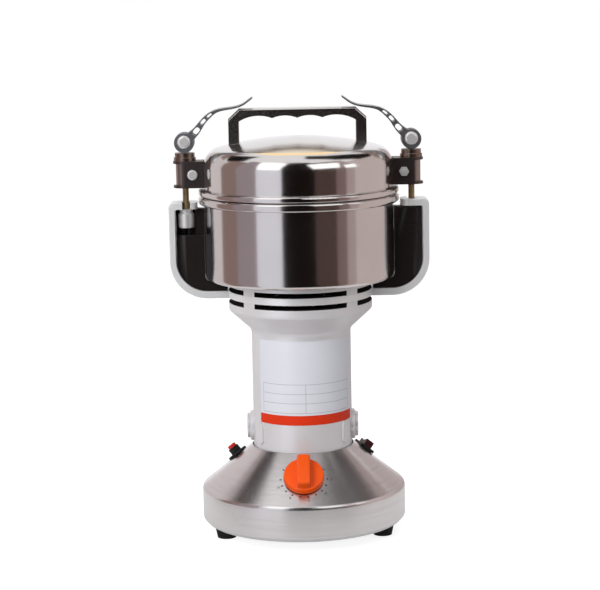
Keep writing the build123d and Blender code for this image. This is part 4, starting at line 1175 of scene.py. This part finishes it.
BLACK_TONE = (0.008, 0.005, 0.004)
DARK_TONE = (0.080, 0.050, 0.044)
UMBER_TONE = (0.23, 0.16, 0.15)
BROWN_TONE = (0.30, 0.21, 0.19)
MAUVE_TONE = (0.36, 0.30, 0.32)
TAUPE_TONE = (0.46, 0.37, 0.36)
ROSE_TONE = (0.64, 0.55, 0.53)
PINK_TONE = (0.76, 0.70, 0.70)
FAWN_TONE = (0.54, 0.47, 0.46)
WHITE_TONE = (0.86, 0.87, 0.94)
GREY_TONE = (0.98, 0.98, 1.0)
SOFTBOX_TONE = (1.7, 1.7, 1.7)
WARM_TONE = (1.45, 1.10, 0.62)

FLATS = (
    Flat("flat_black_front", -19.5, 19, 1.60, BLACK_TONE),
    Flat("flat_dark_right", 19, 45, 1.40, DARK_TONE),
    Flat("flat_umber_right", 45, 58, 1.40, UMBER_TONE),
    Flat("flat_taupe_right", 58, 70, 1.40, TAUPE_TONE),
    Flat("flat_rose_right", 70, 124, 1.10, ROSE_TONE),
    Flat("flat_fawn_right", 124, 163, 0.60, FAWN_TONE),
    Flat("flat_white_left", -51, -19.5, 1.40, WHITE_TONE),
    Flat("flat_mauve_left", -78, -51, 1.40, MAUVE_TONE),
    Flat("flat_brown_left", -104, -78, 1.10, BROWN_TONE),
    Flat("flat_pink_left", -160, -104, 0.80, PINK_TONE),
    Flat("flat_grey_back", 163, 200, 0.55, GREY_TONE),
)

CARDS = (
    Card("card_dark_top_left", -115, 50, 1.25, 0.62, 0.50, BLACK_TONE, roll=-32),
    Card("card_brown_top_left", -134, 38, 1.30, 0.90, 0.22, BROWN_TONE, roll=-32),
    Card("card_dark_top_right", 112, 55, 1.25, 0.62, 0.92, BLACK_TONE, roll=28),
    Card("card_brown_top_right", 136, 35, 1.30, 0.90, 0.22, BROWN_TONE, roll=32),
    Card("card_warm_back", 180, 52, 1.40, 0.50, 0.70, WARM_TONE),
    Card("softbox_left", -36, 36, 0.90, 0.44, 0.62, SOFTBOX_TONE),
    Card("softbox_right", 34, 34, 0.90, 0.52, 0.42, SOFTBOX_TONE),
    Card("softbox_far_right", 66, 24, 0.90, 0.24, 0.22, SOFTBOX_TONE),
    Card("card_dark_high_right", 94, 74, 1.22, 0.50, 0.50, BLACK_TONE),
)

LAMPS = (
    Lamp("key_left", -36, 22, 1.25, 0.60, 1.0, 10.0),
    Lamp("fill_right", 48, 40, 1.50, 0.90, 0.9, 2.5),
    Lamp("top", 180, 82, 1.35, 1.10, 0.9, 7.0),
)


@dataclass
class Studio:
    """Floor, world, lamps, reflection cards and camera."""

    target_height: float = 0.15
    ambient: float = 0.42
    floor_size: float = 60.0
    floor_colour: Colour = (0.50, 0.50, 0.50)
    floor_glow: float = 0.80
    floor_gloss: float = 0.35
    flat_radius: float = 0.95
    apron_radius: float = 0.18
    apron_lift: float = 0.004
    hidden: Names = ("visible_camera", "visible_diffuse", "visible_shadow", "visible_transmission")
    camera_place: Triple = (-0.0003, -1.28, 0.357)
    camera_pitch: float = 8.95
    camera_roll: float = -1.06
    focal_pixels: float = 1997.0
    image_width: int = 600
    sensor_width: float = 36.0

    def spot(self, item: Facing) -> Matrix:
        """Place of something that faces the object.

        Args:
            item: Card or lamp.

        Returns:
            Matrix whose -Z points at the object.
        """
        side, rise = math.radians(item.azimuth), math.radians(item.elevation)
        way = Vector((math.sin(side) * math.cos(rise), -math.cos(side) * math.cos(rise), math.sin(rise)))
        frame = way.to_track_quat("Z", "Y").to_matrix().to_4x4()
        frame.translation = Vector((0, 0, self.target_height)) + way * item.distance
        return frame

    def seen_by(self, graph: Graph, *rays: str) -> Socket:
        """Builds the mask of some kinds of rays.

        Args:
            graph: Graph of the background or of a material.
            *rays: Names of the rays.

        Returns:
            Socket that is one for these rays.
        """
        path = graph.add("ShaderNodeLightPath")
        shares = [path.outputs[ray] for ray in rays]
        return graph.math("MINIMUM", reduce(partial(graph.math, "ADD"), shares), 1.0)

    def glowing(self, name: str, colour: Colour) -> tuple[bpy.types.Material, Graph, Node]:
        """Starts a material that only glows.

        Args:
            name: Name of the material.
            colour: Colour of its light.

        Returns:
            The material, its graph and its glow.
        """
        material = bpy.data.materials.new(name)
        material.use_nodes = True
        graph = Graph(material.node_tree)
        graph.tree.nodes.remove(graph.tree.nodes["Principled BSDF"])
        glow = graph.feed(graph.add("ShaderNodeEmission"), {"Color": (*colour, 1)})
        graph.feed(graph.tree.nodes["Material Output"], {"Surface": glow.outputs[0]})
        return material, graph, glow

    def build_world(self) -> None:
        """White background with a plain ambient light."""
        world = bpy.data.worlds.new("studio")
        bpy.context.scene.world = world
        world.use_nodes = True
        graph = Graph(world.node_tree)
        seen = self.seen_by(graph, "Is Camera Ray", "Is Glossy Ray", "Is Transmission Ray")
        strength = graph.remap(seen, results=(self.ambient, 1.0))
        graph.feed(graph.tree.nodes["Background"], {"Color": (*WHITE, 1), "Strength": strength})

    def build_floor(self) -> None:
        """Pale floor that keeps the object's shadow."""
        floor = add_sheet(self.floor_size)
        floor.name = "floor"
        material, graph, glow = self.glowing("floor_paper", WHITE)
        seen = graph.math("MULTIPLY", self.seen_by(graph, "Is Camera Ray"), self.floor_glow)
        glint = self.seen_by(graph, "Is Glossy Ray", "Is Transmission Ray")
        glint = graph.math("MULTIPLY", glint, self.floor_gloss)
        graph.feed(glow, {"Strength": graph.math("ADD", seen, glint)})
        paper = graph.feed(graph.add("ShaderNodeBsdfDiffuse"), {"Color": (*self.floor_colour, 1)})
        both = graph.feed(graph.add("ShaderNodeAddShader"), {0: paper.outputs[0], 1: glow.outputs[0]})
        graph.feed(graph.tree.nodes["Material Output"], {"Surface": both.outputs[0]})
        floor.data.materials.append(material)

    def light_up(self, sheet: Piece, name: str, colour: Colour) -> None:
        """Gives a studio sheet its tone and hides it from all but gloss.

        Args:
            sheet: Flat or card in its place.
            name: Name of the sheet.
            colour: Its tone.
        """
        sheet.name = name
        sheet.data.materials.append(self.glowing(name, colour)[0])
        for rays in self.hidden:
            setattr(sheet, rays, False)

    def build_flat(self, flat: Flat) -> None:
        """Stands one flat on the floor and folds its apron out towards the object.

        Args:
            flat: Flat to build.
        """
        sheet = add_sheet(1.0)
        half = math.radians((flat.last - flat.first) / 2)
        size = Matrix.Diagonal((2 * self.flat_radius * math.tan(half), flat.top, 1, 1))
        upright = Matrix.Translation((0, -self.flat_radius, flat.top / 2 + self.apron_lift))
        sheet.data.transform(upright @ turned(90, "X") @ size)

        def low(edge: bpy.types.MeshEdge) -> bool:
            """Tells whether an edge lies in the lower half."""
            return all(sheet.data.vertices[index].co.z < flat.top / 2 for index in edge.vertices)

        choose(sheet, Level.EDGES, low)
        fold = self.flat_radius - self.apron_radius
        bpy.ops.mesh.extrude_region_move(TRANSFORM_OT_translate={"value": (0, fold, 0)})
        narrow = self.apron_radius / self.flat_radius
        bpy.ops.transform.resize(value=(narrow, 1, 1), center_override=ORIGIN)
        bpy.ops.object.mode_set(mode="OBJECT")
        sheet.data.transform(turned((flat.first + flat.last) / 2, "Z"))
        self.light_up(sheet, flat.name, flat.colour)

    def build_cards(self) -> None:
        """Flats and cards that give the steel its dark and light bands."""
        for flat in FLATS:
            self.build_flat(flat)
        for card in CARDS:
            sheet = add_sheet(1.0)
            size = Matrix.Diagonal((card.width, card.height, 1, 1))
            sheet.data.transform(self.spot(card) @ turned(card.roll, "Z") @ size)
            self.light_up(sheet, card.name, card.colour)

    def build_lamps(self) -> None:
        """Soft lamps round the object."""
        for lamp in LAMPS:
            light = bpy.data.lights.new(lamp.name, "AREA")
            light.shape = "RECTANGLE"
            light.size = lamp.width
            light.size_y = lamp.height
            light.energy = lamp.power
            holder = bpy.data.objects.new(lamp.name, light)
            holder.matrix_world = self.spot(lamp)
            holder.visible_glossy = False
            bpy.context.scene.collection.objects.link(holder)

    def build_camera(self) -> None:
        """Camera at the photograph's angle."""
        data = bpy.data.cameras.new("camera")
        data.sensor_width = self.sensor_width
        data.lens = self.sensor_width * self.focal_pixels / self.image_width
        camera = bpy.data.objects.new("camera", data)
        bpy.context.scene.collection.objects.link(camera)
        tilt = turned(90 - self.camera_pitch, "X")
        camera.matrix_world = Matrix.Translation(self.camera_place) @ tilt @ turned(self.camera_roll, "Z")
        bpy.context.scene.camera = camera

    def build(self) -> None:
        """Builds the whole studio."""
        bpy.context.scene.view_settings.view_transform = "Standard"
        self.build_world()
        self.build_floor()
        self.build_cards()
        self.build_lamps()
        self.build_camera()


def main() -> None:
    """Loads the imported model, dresses every sub-assembly and builds the studio."""
    logging.basicConfig(level=logging.INFO, format="%(name)s: %(message)s")
    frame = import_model()
    shop = Workshop(frame["nodes"])
    Studio().build()
    assemblies = (Base(), Controls(), Motor(), Bowl(), Lid(), Clamps())
    for assembly in assemblies:
        assembly.build(shop)
    for assembly in assemblies:
        assembly.dress(shop)


if __name__ == "__main__":
    main()
